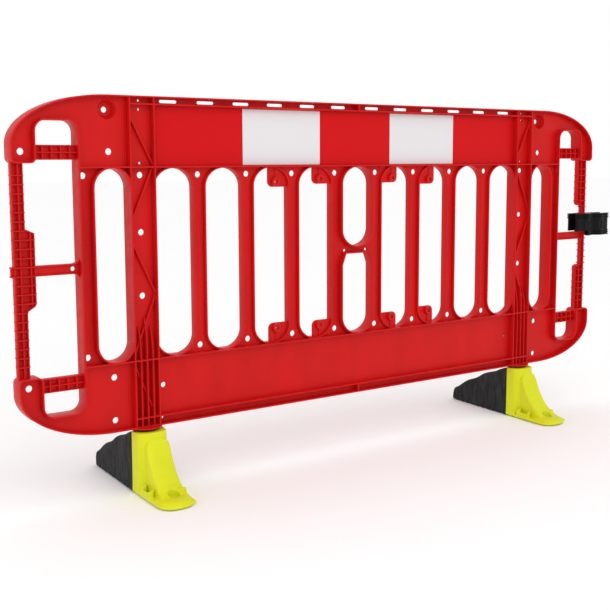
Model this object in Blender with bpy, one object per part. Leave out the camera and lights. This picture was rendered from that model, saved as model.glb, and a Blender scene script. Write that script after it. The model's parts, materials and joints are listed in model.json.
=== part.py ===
"""Plastic crowd control barrier: a moulded panel on two swivelling anti-trip feet, with a joining clip.

The panel is one injection moulding: a thin web on the mid-plane, edged by a deep rim, with board ribs,
picket slots, two columns, two handle bars and two finned end posts. Each foot is a yellow toe bolted to a
black rubber heel round the column's spigot, held up by a screw from below. A two-jaw clip turns on the
right end post and takes the left end post of the next barrier.

Panel frame: X along the panel, Y through it (the toes point to -Y), Z up from the ground.
"""

from math import cos, pi, radians, sin

import bmesh
import bpy
from mathutils import Vector

MM = 0.001

# ---------------------------------------------------------------- driving dimensions
PANEL_LENGTH = 2000 * MM
PANEL_TOP = 1000.5 * MM
PANEL_BOTTOM = 170 * MM
PANEL_DEPTH = 46 * MM
WEB = 5 * MM                     # thickness of the thin middle wall
RIM = 4 * MM                     # thickness of the rim and of every full-depth rib
SEAM = 0.3 * MM                  # gap between two pieces that lie against each other
RUNNING = 0.6 * MM               # radial clearance of a turning fit

CORNER_X = 240 * MM              # half axes of the outline's elliptical corners
CORNER_Z = 120 * MM

# boards and channels, as heights of the full-depth ribs
SLOT_HALF_HEIGHT = 238.8 * MM    # picket slots reach this far above and below the panel's middle
TOP_CHANNEL = 20 * MM            # rib below the top edge
BOTTOM_CHANNEL = 25 * MM         # rib above the bottom edge

# pickets
SLOT_WIDTH = 109.7 * MM
PICKET_WIDTH = 36 * MM
SLOT_END = 48 * MM               # height of a slot's rounded end
SLOT_RIM = 4.5 * MM
SLOT_RIM_DEPTH = 25 * MM
CENTRE_RIM_DEPTH = 38 * MM
BRIDGE_TOP = 12.8 * MM           # bridge across the middle slot, from the panel's middle height
BRIDGE_BOTTOM = -8.2 * MM
BRIDGE_SHOULDER = 32 * MM        # height of the lower opening's sloping shoulders
BRIDGE_NARROWING = 12 * MM

# columns over the feet
COLUMN_FROM_END = 328.4 * MM
COLUMN_HALF = 34.5 * MM
COLUMN_DISC_R = 41 * MM
DIAGONAL = 5 * MM
DIAGONAL_DEPTH = 24 * MM
COLUMN_FINS = 5

# ends
UPRIGHT_FROM_END = 162 * MM      # outer face of the inner upright
UPRIGHT_WIDTH = 38 * MM
EAR_WIDTH = 59 * MM
EAR_REACH = 252 * MM             # ear ends, from the middle height
EAR_CORNER = 13 * MM
WINDOW_REACH = 352 * MM          # far edges of the end windows
WINDOW_CORNER = 38 * MM
HANDLE_CENTRE = 277.5 * MM
HANDLE_HEIGHT = 35 * MM
BAR_WALL = 3.5 * MM
BAR_HALF_DEPTH = 8 * MM          # flanges of bars and posts
FIN_HALF_DEPTH = 15 * MM         # rounded grip fins of bars and posts
FIN = 3 * MM
FIN_PITCH = 21.4 * MM
FIN_PROUD = 1 * MM
CROSS_BAR_HEIGHT = 25 * MM
CROSS_BAR_ROOT = 16 * MM
END_TAB = 4 * MM                 # cross-bar flanges stand past the left post

LEFT_POST = (-997 * MM, -968 * MM)          # at the nominal end face of -1000
LEFT_POST_BULGE = -946 * MM
RIGHT_POST = (972.7 * MM, 988.7 * MM)
RIGHT_POST_WIDE = 947.5 * MM
POST_BULGE_REACH = 90 * MM
POST_SHOULDER_REACH = 100 * MM

HOLE_R = 8 * MM
EAR_HOLE_IN = 29.5 * MM
BOARD_HOLE_REACH = 279.5 * MM
PICKET_HOLE_REACH = 222 * MM

# cups in the upper corners
CUP_FROM_END = 244.5 * MM
CUP_BELOW_TOP = 34.6 * MM
CUP_R = 24 * MM
CUP_FLOOR = 17 * MM

# sign lugs: hole in from the slot's picket side, and up from the middle height
LUG_HOLE_R = 5 * MM
LUG_Y = -14 * MM
LUG_THICK = 4 * MM
LUG_CORNER = 15 * MM
LUG_PLACES = ((1, 206 * MM), (2, 199.9 * MM))
LUG_HOLE_IN = 39.6 * MM
LUG_WIDTH = 68 * MM

# reflective sheeting
STRIP_COUNT = 5
STRIP_MARGIN = 12.5 * MM
STRIP_THICK = 0.5 * MM

# feet
FOOT_TOP = 162 * MM
SOLE_Z = 3 * MM                  # the sole rides this high on its studs
TREAD_PITCH = 30 * MM
TREAD_STUD_R = 4 * MM
SPIGOT_R = 19 * MM
SPIGOT_END = 58 * MM
SCREW_R = 6 * MM
SCREW_DEPTH = 43 * MM            # depth of the screw's hole in the spigot
SCREW_HEAD_R = 14 * MM
SCREW_RECESS = 30 * MM           # height of the recess under the foot for the screw's head
TOE_REACH = 192 * MM
TOE_HALF_BACK = 39 * MM
TOE_HALF_FRONT = 46 * MM
FLANGE_TOP = 13 * MM
COLLAR_HALF = 42 * MM
COLLAR_FRONT = 50 * MM
HEEL_REACH = 280 * MM
HEEL_HALF_BACK = 22 * MM
BOLT_R = 4 * MM
BOLT_HEAD_R = 7.5 * MM
BOLT_X = 28 * MM
BOLT_SEAT = 40 * MM              # bolt heads bear here, behind the parting plane
BOLT_Z = 40 * MM

# clip
CLIP_HEIGHT = 75 * MM
CLIP_BOTTOM = -1.5 * MM          # from the middle height
CLIP_BORE_R = 16.8 * MM
CLIP_WALL = 13 * MM
CLIP_LIP = 46 * MM               # lip ends, from the jaw's axis
CLIP_MOUTH = 28 * MM
CLIP_PITCH = 68 * MM             # between the two jaws' axes
CLIP_RIB = 2 * MM

ARC = 3                          # segments in a quarter circle
HOLE_SIDES = 8

# ---------------------------------------------------------------- places that follow from them
HALF = PANEL_LENGTH / 2
MIDDLE = (PANEL_TOP + PANEL_BOTTOM) / 2
DEEP = PANEL_DEPTH / 2
COLUMN_X = HALF - COLUMN_FROM_END
COLUMN_IN = COLUMN_X - COLUMN_HALF
COLUMN_OUT = COLUMN_X + COLUMN_HALF
UPRIGHT_OUT = HALF - UPRIGHT_FROM_END
UPRIGHT_IN = UPRIGHT_OUT - UPRIGHT_WIDTH
EAR_IN = HALF - EAR_WIDTH
BOARD_RIB = SLOT_HALF_HEIGHT + 1 * MM + RIM / 2
SLOTS_PER_SIDE = max(1, int((COLUMN_IN - SLOT_WIDTH / 2) / (SLOT_WIDTH + PICKET_WIDTH) + 0.01))
SLOT_PITCH = (COLUMN_IN - SLOT_WIDTH / 2) / SLOTS_PER_SIDE
END_SHIFT = HALF - 1000 * MM
DISC_TOP = PANEL_BOTTOM + 2 * MM
DISC_BOTTOM = DISC_TOP - RIM
POST_AXIS = (RIGHT_POST[0] + RIGHT_POST[1]) / 2 + END_SHIFT
CLIP_REACH = POST_AXIS + CLIP_PITCH + CLIP_LIP
FRAME_X = -(CLIP_REACH - HALF - END_TAB) / 2
FRAME_Y = -(HEEL_REACH - TOE_REACH) / 2


# ---------------------------------------------------------------- outlines
def arc(cu, cv, ru, rv, start, stop, steps=ARC):
    """Points on an elliptical arc, from start to stop in degrees."""
    angles = [radians(start + (stop - start) * i / steps) for i in range(steps + 1)]
    return [(cu + ru * cos(a), cv + rv * sin(a)) for a in angles]


def circle(cu, cv, r, sides=HOLE_SIDES):
    return arc(cu, cv, r, r, 0, 360 * (sides - 1) / sides, sides - 1)


def box(u0, u1, v0, v1):
    return [(u0, v0), (u1, v0), (u1, v1), (u0, v1)]


def slot_outline(u, low, high, half, end):
    """Upright slot with half-elliptical ends."""
    top = arc(u, high - end, half, end, 0, 180, 2 * ARC)
    bottom = arc(u, low + end, half, end, 180, 360, 2 * ARC)
    return top + bottom


def offset(outline, distance):
    """Outline moved inward by a distance, with mitred corners; negative moves it outward."""
    count = len(outline)
    area = sum(outline[i - 1][0] * outline[i][1] - outline[i][0] * outline[i - 1][1] for i in range(count))
    turn = 1 if area > 0 else -1
    moved = []
    for i in range(count):
        here = Vector(outline[i])
        before = (here - Vector(outline[i - 1])).normalized()
        after = (Vector(outline[(i + 1) % count]) - here).normalized()
        side_a = Vector((-before.y, before.x)) * turn
        side_b = Vector((-after.y, after.x)) * turn
        middle = (side_a + side_b).normalized()
        moved.append(tuple(here + middle * distance / max(0.3, middle.dot(side_a))))
    return moved


def mirror_u(outline):
    return [(-u, v) for u, v in reversed(outline)]


# ---------------------------------------------------------------- solids
PLANES = {
    "XZ": lambda u, v, w: (u, w, v),
    "XY": lambda u, v, w: (u, v, w),
    "YZ": lambda u, v, w: (w, u, v),
}


class Shells:
    """Closed shells gathered in one mesh, to be fused into one body."""

    def __init__(self):
        self.bm = bmesh.new()

    def close(self, faces):
        bmesh.ops.recalc_face_normals(self.bm, faces=faces)

    def prism(self, outline, low, high, plane="XZ", holes=()):
        """Outline with holes, carried straight from low to high across its plane."""
        place = PLANES[plane]
        edges = []
        for loop in (outline, *holes):
            verts = [self.bm.verts.new(place(u, v, low)) for u, v in loop]
            edges += [self.bm.edges.new((verts[i - 1], verts[i])) for i in range(len(verts))]
        fill = bmesh.ops.triangle_fill(self.bm, edges=edges, use_beauty=True)
        caps = [item for item in fill["geom"] if isinstance(item, bmesh.types.BMFace)]
        made = bmesh.ops.extrude_face_region(self.bm, geom=caps, use_keep_orig=True)
        far = [item for item in made["geom"] if isinstance(item, bmesh.types.BMVert)]
        step = Vector(place(0, 0, high)) - Vector(place(0, 0, low))
        bmesh.ops.translate(self.bm, vec=step, verts=far)
        faces = set(caps)
        for vert in far:
            faces.update(vert.link_faces)
        self.close(list(faces))

    def plate(self, outline, half_depth, holes=()):
        """Prism in the panel's plane, the same depth to the front and the back."""
        self.prism(outline, -half_depth, half_depth, "XZ", holes)

    def loft(self, stations):
        """Skin over a row of outlines with the same number of points, closed by flat ends."""
        rings = [[self.bm.verts.new(point) for point in station] for station in stations]
        faces = []
        for ring_a, ring_b in zip(rings, rings[1:]):
            for i in range(len(ring_a)):
                faces.append(self.bm.faces.new((ring_a[i - 1], ring_a[i], ring_b[i], ring_b[i - 1])))
        faces.append(self.bm.faces.new(rings[0]))
        faces.append(self.bm.faces.new(rings[-1]))
        self.close(faces)

    def lathe(self, profile, centre, axis="Z", sides=24):
        """Closed profile of (radius, height) points turned about an axis through centre."""
        rings = []
        for i in range(sides):
            angle = 2 * pi * i / sides
            ring = []
            for r, h in profile:
                across = (r * cos(angle), r * sin(angle))
                spot = (*across, h) if axis == "Z" else (across[0], h, across[1])
                ring.append(self.bm.verts.new(Vector(centre) + Vector(spot)))
            rings.append(ring)
        faces = []
        count = len(profile)
        for i in range(sides):
            for j in range(count):
                corners = (rings[i - 1][j - 1], rings[i - 1][j], rings[i][j], rings[i][j - 1])
                faces.append(self.bm.faces.new(corners))
        on_axis = [v for ring in rings for v, (r, _) in zip(ring, profile) if r == 0]
        verts = {v for face in faces for v in face.verts}
        bmesh.ops.remove_doubles(self.bm, verts=on_axis, dist=1e-7)
        kept = {face for v in verts if v.is_valid for face in v.link_faces}
        self.close(list(kept))

    def mesh(self, name):
        mesh = bpy.data.meshes.new(name)
        self.bm.to_mesh(mesh)
        self.bm.free()
        return mesh


def fused(name, first, rest=None, cutters=None):
    """One mesh: the first shell united with the rest, less the cutters."""
    body = bpy.data.objects.new(name, first.mesh(name))
    bpy.context.collection.objects.link(body)
    helpers = []
    for operation, shells in (("UNION", rest), ("DIFFERENCE", cutters)):
        if shells is None:
            continue
        helper = bpy.data.objects.new(f"{name}_{operation.lower()}", shells.mesh(name))
        bpy.context.collection.objects.link(helper)
        helper.hide_render = True
        helper.display_type = "WIRE"
        helpers.append(helper)
        modifier = body.modifiers.new(operation, "BOOLEAN")
        modifier.operation = operation
        modifier.solver = "EXACT"
        modifier.use_self = True
        modifier.object = helper
    graph = bpy.context.evaluated_depsgraph_get()
    mesh = bpy.data.meshes.new_from_object(body.evaluated_get(graph))
    for item in (body, *helpers):
        bpy.data.objects.remove(item)
    bm = bmesh.new()
    bm.from_mesh(mesh)
    bmesh.ops.remove_doubles(bm, verts=bm.verts, dist=2e-6)
    bmesh.ops.dissolve_limit(bm, angle_limit=radians(0.2), verts=bm.verts, edges=bm.edges)
    bmesh.ops.triangulate(bm, faces=bm.faces)
    bm.to_mesh(mesh)
    bm.free()
    mesh.name = name
    return mesh


# ---------------------------------------------------------------- materials and placing
def plastic(name, colour, roughness, metallic=0.0):
    material = bpy.data.materials.new(name)
    material.use_nodes = True
    shader = material.node_tree.nodes["Principled BSDF"]
    shader.inputs["Base Color"].default_value = (*colour, 1)
    shader.inputs["Roughness"].default_value = roughness
    shader.inputs["Metallic"].default_value = metallic
    material.diffuse_color = (*colour, 1)
    return material


def empty(name, location, parent=None):
    item = bpy.data.objects.new(name, None)
    item.location = location
    item.parent = parent
    bpy.context.collection.objects.link(item)
    return item


def piece(name, mesh, parent, material, location=(0, 0, 0)):
    """Named object on its parent empty; a moving piece's parent stands on its joint's axis."""
    item = bpy.data.objects.new(name, mesh)
    item.parent = parent
    item.location = location
    mesh.materials.clear()
    mesh.materials.append(material)
    mesh.shade_smooth()
    mesh.set_sharp_from_angle(angle=radians(30))
    bpy.context.collection.objects.link(item)
    return item


# ---------------------------------------------------------------- panel: outline, web and rim
def panel_outline():
    """Outer edge of web and rim, with the big end cut-outs round the handle bars and posts."""
    corner = PANEL_TOP - CORNER_Z
    ear = MIDDLE + EAR_REACH
    window = MIDDLE + WINDOW_REACH
    quarter = arc(HALF - CORNER_X, corner, CORNER_X, CORNER_Z, 90, 0, 2 * ARC)
    quarter += arc(HALF - EAR_CORNER, ear + EAR_CORNER, EAR_CORNER, EAR_CORNER, 0, -90, 2)
    quarter += arc(EAR_IN + EAR_CORNER, ear + EAR_CORNER, EAR_CORNER, EAR_CORNER, 270, 180, 2)
    quarter += arc(EAR_IN - WINDOW_CORNER, window - WINDOW_CORNER, WINDOW_CORNER, WINDOW_CORNER, 0, 90)
    quarter += arc(UPRIGHT_OUT + WINDOW_CORNER, window - WINDOW_CORNER, WINDOW_CORNER, WINDOW_CORNER, 90, 180)
    lower = [(u, 2 * MIDDLE - v) for u, v in reversed(quarter)]
    right = quarter + lower
    return right + mirror_u(right)


def inner_slots():
    """Openings between the pickets, without the middle one."""
    low = MIDDLE - SLOT_HALF_HEIGHT
    high = MIDDLE + SLOT_HALF_HEIGHT
    places = [i * SLOT_PITCH for i in range(-SLOTS_PER_SIDE, SLOTS_PER_SIDE + 1) if i]
    return [slot_outline(u, low, high, SLOT_WIDTH / 2, SLOT_END) for u in places]


def outer_slots():
    """Openings between column and upright."""
    half = (UPRIGHT_IN - COLUMN_OUT) / 2
    low = MIDDLE - SLOT_HALF_HEIGHT
    high = MIDDLE + SLOT_HALF_HEIGHT
    end = min(half, SLOT_END)
    right = slot_outline((UPRIGHT_IN + COLUMN_OUT) / 2, low, high, half, end)
    return [right, mirror_u(right)]


def middle_slots():
    """The middle slot's upper and lower openings, parted by the bridge."""
    half = SLOT_WIDTH / 2
    upper = slot_outline(0, MIDDLE + BRIDGE_TOP, MIDDLE + SLOT_HALF_HEIGHT, half, SLOT_END)
    low = MIDDLE - SLOT_HALF_HEIGHT
    lower = arc(0, low + SLOT_END, half, SLOT_END, 180, 360, 2 * ARC)
    lower.append((half, MIDDLE + BRIDGE_BOTTOM - BRIDGE_SHOULDER))
    lower.append((half - BRIDGE_NARROWING, MIDDLE + BRIDGE_BOTTOM))
    lower.append((BRIDGE_NARROWING - half, MIDDLE + BRIDGE_BOTTOM))
    lower.append((-half, MIDDLE + BRIDGE_BOTTOM - BRIDGE_SHOULDER))
    return [upper, lower]


def web_holes():
    """Round and slotted holes through the web."""
    spots = []
    for side in (-1, 1):
        for up in (-1, 1):
            spots.append((side * (HALF - EAR_HOLE_IN), MIDDLE + up * BOARD_HOLE_REACH, HOLE_R))
            spots.append((side * (UPRIGHT_IN + COLUMN_OUT) / 2, MIDDLE + up * BOARD_HOLE_REACH, HOLE_R))
            spots.append((side * (UPRIGHT_IN + 21 * MM), MIDDLE + up * PICKET_HOLE_REACH, HOLE_R))
            for i in range(SLOTS_PER_SIDE):
                spots.append((side * (i + 0.5) * SLOT_PITCH, MIDDLE + up * PICKET_HOLE_REACH, HOLE_R))
        spots.append((side * (UPRIGHT_IN + COLUMN_OUT) / 2, PANEL_BOTTOM + 26.4 * MM, HOLE_R))
        spots.append((side * (COLUMN_IN - 18 * MM), PANEL_BOTTOM + 100 * MM, 7 * MM))
        spots.append((side * 37.8 * MM, MIDDLE + (BRIDGE_TOP + BRIDGE_BOTTOM) / 2 - 2 * MM, 4 * MM))
        for up in (222, 80, -80):
            spots.append((side * COLUMN_X, MIDDLE + up * MM, HOLE_R))
    holes = [circle(u, v, r) for u, v, r in spots]
    first, margin, pitch = 60 * MM, 47 * MM, 106 * MM
    count = max(1, round((COLUMN_IN - margin - first) / pitch))
    for i in range(count + 1):
        u = first + i * (COLUMN_IN - margin - first) / count
        for side in (-1, 1):
            ends = arc(side * u + 21 * MM, PANEL_TOP - 11.4 * MM, 4 * MM, 4 * MM, -90, 90, 2)
            ends += arc(side * u - 21 * MM, PANEL_TOP - 11.4 * MM, 4 * MM, 4 * MM, 90, 270, 2)
            holes.append(ends)
    return holes


def cup_places():
    return [(side * (HALF - CUP_FROM_END), PANEL_TOP - CUP_BELOW_TOP) for side in (-1, 1)]


def add_web(shells, outline, rings):
    """Thin middle wall; its edges end inside the rims that border it."""
    holes = [offset(opening, -width / 2) for opening, width, _ in rings]
    holes += web_holes()
    holes += [circle(u, v, CUP_R + 1.5 * MM, 12) for u, v in cup_places()]
    shells.plate(offset(outline, RIM / 2), WEB / 2, holes)


def add_ring(shells, opening, width, depth):
    """Rim of the given width round an opening."""
    shells.plate(offset(opening, -width), depth / 2, [opening])


# ---------------------------------------------------------------- panel: ribs, columns and fittings
def add_board_ribs(shells):
    """Full-depth ribs along the boards and the channels at the top and bottom edges."""
    reach = UPRIGHT_OUT - RIM / 2
    channel = COLUMN_OUT - RIM / 2
    heights = (
        (reach, MIDDLE + BOARD_RIB),
        (reach, MIDDLE - BOARD_RIB),
        (channel, PANEL_TOP - TOP_CHANNEL),
        (channel, PANEL_BOTTOM + BOTTOM_CHANNEL),
    )
    for far, height in heights:
        shells.plate(box(-far, far, height - RIM / 2, height + RIM / 2), DEEP)
    half = RIM / 2
    shells.plate(box(-half, half, PANEL_TOP - TOP_CHANNEL, PANEL_TOP - half), DEEP)
    shells.plate(box(-half, half, PANEL_BOTTOM + half, PANEL_BOTTOM + BOTTOM_CHANNEL), DEEP)


def bar_between(start, stop, width):
    """Outline of a straight strip from start to stop."""
    along = Vector(stop) - Vector(start)
    side = Vector((-along.y, along.x)).normalized() * width / 2
    a, b = Vector(start), Vector(stop)
    return [tuple(a + side), tuple(a - side), tuple(b - side), tuple(b + side)]


def add_column(shells, side):
    """Column over a foot: edge ribs, zigzag bracing, base fins, disc and spigot."""
    x = side * COLUMN_X
    edge = COLUMN_HALF - RIM / 2
    for way in (-1, 1):
        centre = x + way * edge
        shells.plate(box(centre - RIM / 2, centre + RIM / 2, DISC_BOTTOM + 1 * MM, PANEL_TOP - RIM / 2),
                     DEEP)
    nodes = ((-1, 374.8), (1, 246.5), (-1, 99.8)), ((-1, 64.8), (1, -75.2), (-1, -236)), ((-1, -247), (1, -405))
    for zigzag in nodes:
        for (way_a, up_a), (way_b, up_b) in zip(zigzag, zigzag[1:]):
            start = (x - side * way_a * -edge, MIDDLE + up_a * MM)
            stop = (x - side * way_b * -edge, MIDDLE + up_b * MM)
            shells.plate(bar_between(start, stop, DIAGONAL), DIAGONAL_DEPTH / 2)
    pitch = 2 * edge / (COLUMN_FINS - 1)
    tops = (455 * MM, 430 * MM)
    for i in (1, 2, 3):
        top = tops[0] if i == 2 else tops[1]
        centre = x - edge + i * pitch
        for face in (-1, 1):
            sweep = arc(0, top - 90 * MM, DEEP, 90 * MM, 0, 90, 2)
            profile = [(face * u, v) for u, v in sweep] + [(0, DISC_BOTTOM + 1 * MM)]
            profile.append((face * (DEEP), DISC_BOTTOM + 1 * MM))
            shells.prism(profile, centre - FIN / 2, centre + FIN / 2, "YZ")
    disc = [(0, DISC_TOP), (0, SPIGOT_END + SCREW_DEPTH), (SCREW_R, SPIGOT_END + SCREW_DEPTH), (SCREW_R, SPIGOT_END),
            (SPIGOT_R, SPIGOT_END), (SPIGOT_R, DISC_BOTTOM), (COLUMN_DISC_R, DISC_BOTTOM), (COLUMN_DISC_R, DISC_TOP)]
    shells.lathe(disc, (x, 0, 0), sides=16)


def add_cups(shells):
    """Round cups let into the web from the front, each with a hole in its floor."""
    wall = 2.5 * MM
    profile = [(7 * MM, CUP_FLOOR - wall), (CUP_R - 6 * MM, CUP_FLOOR - wall), (CUP_R, -WEB / 2 - 0.4 * MM),
               (CUP_R + wall, -WEB / 2 - 0.4 * MM), (CUP_R - 6 * MM + wall, CUP_FLOOR), (7 * MM, CUP_FLOOR)]
    for u, v in cup_places():
        shells.lathe(profile, (u, 0, v), axis="Y", sides=12)


def add_lugs(shells):
    """Drilled corner plates in four slots, where a sign board is fixed."""
    for number, reach in LUG_PLACES:
        picket = number * SLOT_PITCH - SLOT_WIDTH / 2
        hole_u = picket + LUG_HOLE_IN
        free = picket + LUG_WIDTH
        rib = BOARD_RIB + RIM / 2 - 0.7 * MM
        low = reach - 14 * MM
        plate = [(picket - SLOT_RIM + 1 * MM, rib), (picket - SLOT_RIM + 1 * MM, low)]
        plate += arc(free - LUG_CORNER, low + LUG_CORNER, LUG_CORNER, LUG_CORNER, -90, 0, 3)
        plate.append((free, rib))
        hole = circle(hole_u, reach, LUG_HOLE_R)
        back = LUG_Y + LUG_THICK
        for side in (-1, 1):
            for up in (-1, 1):
                def placed(outline, side=side, up=up):
                    return [(side * u, MIDDLE + up * v) for u, v in outline]
                shells.prism(placed(plate), LUG_Y, back, "XZ", [placed(hole)])


# ---------------------------------------------------------------- panel: bars and posts
def lens(half_width, half_depth, flange):
    """Fin outline, square at the sides and rounded at the front and the back."""
    front = arc(0, flange, half_width, half_depth - flange, 0, 180, 2)
    back = arc(0, -flange, half_width, half_depth - flange, 180, 360, 2)
    return front + back


def add_handle_bars(shells, side):
    """Short finned grips across the end windows."""
    near = UPRIGHT_OUT - RIM / 2
    far = EAR_IN + RIM / 2
    for up in (-1, 1):
        centre = MIDDLE + up * HANDLE_CENTRE
        low, high = centre - HANDLE_HEIGHT / 2, centre + HANDLE_HEIGHT / 2
        ends = sorted((side * near, side * far))
        shells.plate(box(*ends, low, high), BAR_HALF_DEPTH)
        count = max(2, round((far - near) / FIN_PITCH) - 1)
        pitch = (EAR_IN - UPRIGHT_OUT) / (count + 0.6)
        for i in range(count):
            u = side * (UPRIGHT_OUT + (i + 0.8) * pitch)
            rounded = [(y, centre + z) for z, y in lens(HANDLE_HEIGHT / 2 - 0.4 * MM, FIN_HALF_DEPTH, 4 * MM)]
            shells.prism(rounded, u - FIN / 2, u + FIN / 2, "YZ")


def add_cross_bar(shells, side, tab):
    """Bar at mid height from the upright to the post, flared at its root."""
    near = UPRIGHT_OUT - RIM / 2
    half = CROSS_BAR_HEIGHT / 2
    root = CROSS_BAR_ROOT
    sweep = arc(UPRIGHT_OUT + root, half + root, root, root, 180, 270, 4)
    upper = [(near, half + root), *sweep, (tab, half)]
    lower = [(u, -v) for u, v in reversed(upper)]
    web = [(side * u, MIDDLE + v) for u, v in upper + lower]
    hole = circle(side * (UPRIGHT_OUT + 15 * MM), MIDDLE, 5.5 * MM, 10)
    shells.plate(web, WEB / 2 - 0.5 * MM, [hole])
    for flip in (-1, 1):
        strip = [(side * u, MIDDLE + flip * v) for u, v in sweep_strip(upper)]
        shells.plate(strip, BAR_HALF_DEPTH + 0.3 * MM)


def sweep_strip(edge):
    """Flange that follows an edge, one wall thick below it."""
    below = []
    for i, (u, v) in enumerate(edge):
        before = Vector(edge[max(0, i - 1)])
        after = Vector(edge[min(len(edge) - 1, i + 1)])
        along = (after - before).normalized()
        below.append((u + along.y * BAR_WALL, v - along.x * BAR_WALL))
    return list(edge) + below[::-1]


def add_post(shells, outline, fins):
    """End post: a bar with rounded grip fins at one pitch."""
    shells.plate(outline, BAR_HALF_DEPTH)
    for height, left, right in fins:
        half = (right - left) / 2
        centre = (left + right) / 2
        rounded = [(centre + u, v) for u, v in lens(half, FIN_HALF_DEPTH, BAR_HALF_DEPTH + 0.5 * MM)]
        shells.prism(rounded, height - FIN / 2, height + FIN / 2, "XY")


def fin_heights():
    """Fin heights between the ears, evenly spaced about the middle."""
    count = int((EAR_REACH - FIN_PITCH) / FIN_PITCH)
    return [(i + 0.5) * FIN_PITCH for i in range(-count - 1, count + 1)]


def add_left_post(shells):
    """Narrow post that widens towards the panel over its middle stretch."""
    far, near = LEFT_POST[0] - END_SHIFT, LEFT_POST[1] - END_SHIFT
    bulge = LEFT_POST_BULGE - END_SHIFT
    end = EAR_REACH + 4 * MM
    reach = POST_BULGE_REACH
    edge = [(far, -end), (near, -end), (near, -reach - 5 * MM)]
    edge += arc(near, -reach + 15 * MM, bulge - near, 15 * MM, -60, 0, 3)
    edge += [(bulge, reach), (near, reach + 10 * MM), (near, end), (far, end)]
    outline = [(u, MIDDLE + v) for u, v in edge]
    fins = []
    for v in fin_heights():
        inner = bulge if -reach < v < reach else near
        fins.append((MIDDLE + v, far - FIN_PROUD, inner + FIN_PROUD))
    add_post(shells, outline, fins)


def add_right_post(shells):
    """Post that is slim over its middle stretch, where the clip turns on it."""
    near, far = RIGHT_POST[0] + END_SHIFT, RIGHT_POST[1] + END_SHIFT
    wide = RIGHT_POST_WIDE + END_SHIFT
    end = EAR_REACH + 4 * MM
    reach = POST_SHOULDER_REACH
    rise = 10 * MM
    upper = arc(near, reach + rise, wide - near, rise, 0, -70, 4)
    upper = [(wide, end), *upper, (near, reach)]
    lower = [(u, -v) for u, v in reversed(upper)]
    edge = upper + lower + [(far, -end), (far, end)]
    outline = [(u, MIDDLE + v) for u, v in edge]
    fins = []
    for v in fin_heights():
        inner = near if -reach - rise < v < reach + rise else wide
        fins.append((MIDDLE + v, inner - FIN_PROUD, far + FIN_PROUD))
    add_post(shells, outline, fins)


def build_panel():
    """The one-piece moulding."""
    outline = panel_outline()
    rings = [(opening, SLOT_RIM, SLOT_RIM_DEPTH) for opening in inner_slots()]
    rings += [(opening, SLOT_RIM, PANEL_DEPTH) for opening in outer_slots()]
    rings += [(opening, SLOT_RIM, CENTRE_RIM_DEPTH) for opening in middle_slots()]
    first = Shells()
    add_web(first, outline, rings)
    rest = Shells()
    rest.plate(outline, DEEP, [offset(outline, RIM)])
    for opening, width, depth in rings:
        add_ring(rest, opening, width, depth)
    add_board_ribs(rest)
    add_cups(rest)
    add_lugs(rest)
    for side in (-1, 1):
        add_column(rest, side)
        add_handle_bars(rest, side)
    add_left_post(rest)
    add_right_post(rest)
    add_cross_bar(rest, -1, HALF + END_TAB)
    add_cross_bar(rest, 1, RIGHT_POST[1] + END_SHIFT - 1 * MM)
    return fused("panel", first, rest)


# ---------------------------------------------------------------- sheeting
def build_strip(number, face):
    """One strip of reflective sheeting on the web of the upper board."""
    left = STRIP_MARGIN - COLUMN_IN
    width = -2 * left / STRIP_COUNT
    low = MIDDLE + BOARD_RIB + RIM / 2 + 2 * MM
    high = PANEL_TOP - TOP_CHANNEL - RIM / 2 - 2 * MM
    near = WEB / 2 + SEAM
    strip = Shells()
    outline = box(left + number * width + SEAM / 2, left + (number + 1) * width - SEAM / 2, low, high)
    ends = sorted((face * near, face * (near + STRIP_THICK)))
    strip.prism(outline, *ends)
    return strip.mesh("strip")


# ---------------------------------------------------------------- feet
def superellipse(half_u, half_v, power, start, stop, steps):
    """Rounded-square arc."""
    points = []
    for i in range(steps + 1):
        a = radians(start + (stop - start) * i / steps)
        c, s = cos(a), sin(a)
        points.append((half_u * abs(c) ** (2 / power) * (1 if c >= 0 else -1),
                       half_v * abs(s) ** (2 / power) * (1 if s >= 0 else -1)))
    return points


def toe_plan(inset):
    """Plan of the toe's base: widening forward to a rounded nose."""
    nose_y = TOE_REACH - TOE_HALF_FRONT
    nose = superellipse(TOE_HALF_FRONT - inset, TOE_HALF_FRONT + 1 * MM - inset, 2.5, 180, 360, 12)
    plan = [(u, v - nose_y) for u, v in nose]
    plan = [(TOE_HALF_BACK - inset, -SEAM / 2), (inset - TOE_HALF_BACK, -SEAM / 2)] + plan
    return plan


def collar_plan(grow):
    """Plan of the collar, a rounded square cut off at the parting plane."""
    front = superellipse(COLLAR_HALF + grow, COLLAR_FRONT + grow, 3, 180, 360, 12)
    return [(max(u, -TOE_HALF_BACK - grow / 2), min(v, -SEAM / 2)) for u, v in front]


def lift(plan, height):
    return [(u, v, height) for u, v in plan]


def add_tread(shells, x_half, low_y, high_y):
    """Two rows of studs under the sole."""
    count = max(1, int((high_y - low_y) / TREAD_PITCH))
    for i in range(count + 1):
        y = low_y + (high_y - low_y) * i / count
        for side in (-1, 1):
            shells.prism(circle(side * x_half(y), y, TREAD_STUD_R, 6), 0, SOLE_Z + 1 * MM, "XY")


def spigot_bore():
    """Space in the foot for spigot and retaining screw."""
    head = SCREW_HEAD_R + 2 * MM
    return [(0, -5 * MM), (head, -5 * MM), (head, SCREW_RECESS), (SCREW_R + 1 * MM, SCREW_RECESS),
            (SCREW_R + 1 * MM, SPIGOT_END - 2 * MM), (SPIGOT_R + RUNNING, SPIGOT_END - 2 * MM),
            (SPIGOT_R + RUNNING, FOOT_TOP + 5 * MM), (0, FOOT_TOP + 5 * MM)]


def bolt_bore(shells, side, low_y, high_y, r):
    outline = circle(side * BOLT_X, BOLT_Z, r, 10)
    shells.prism(outline, low_y, high_y, "XZ")


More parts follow.
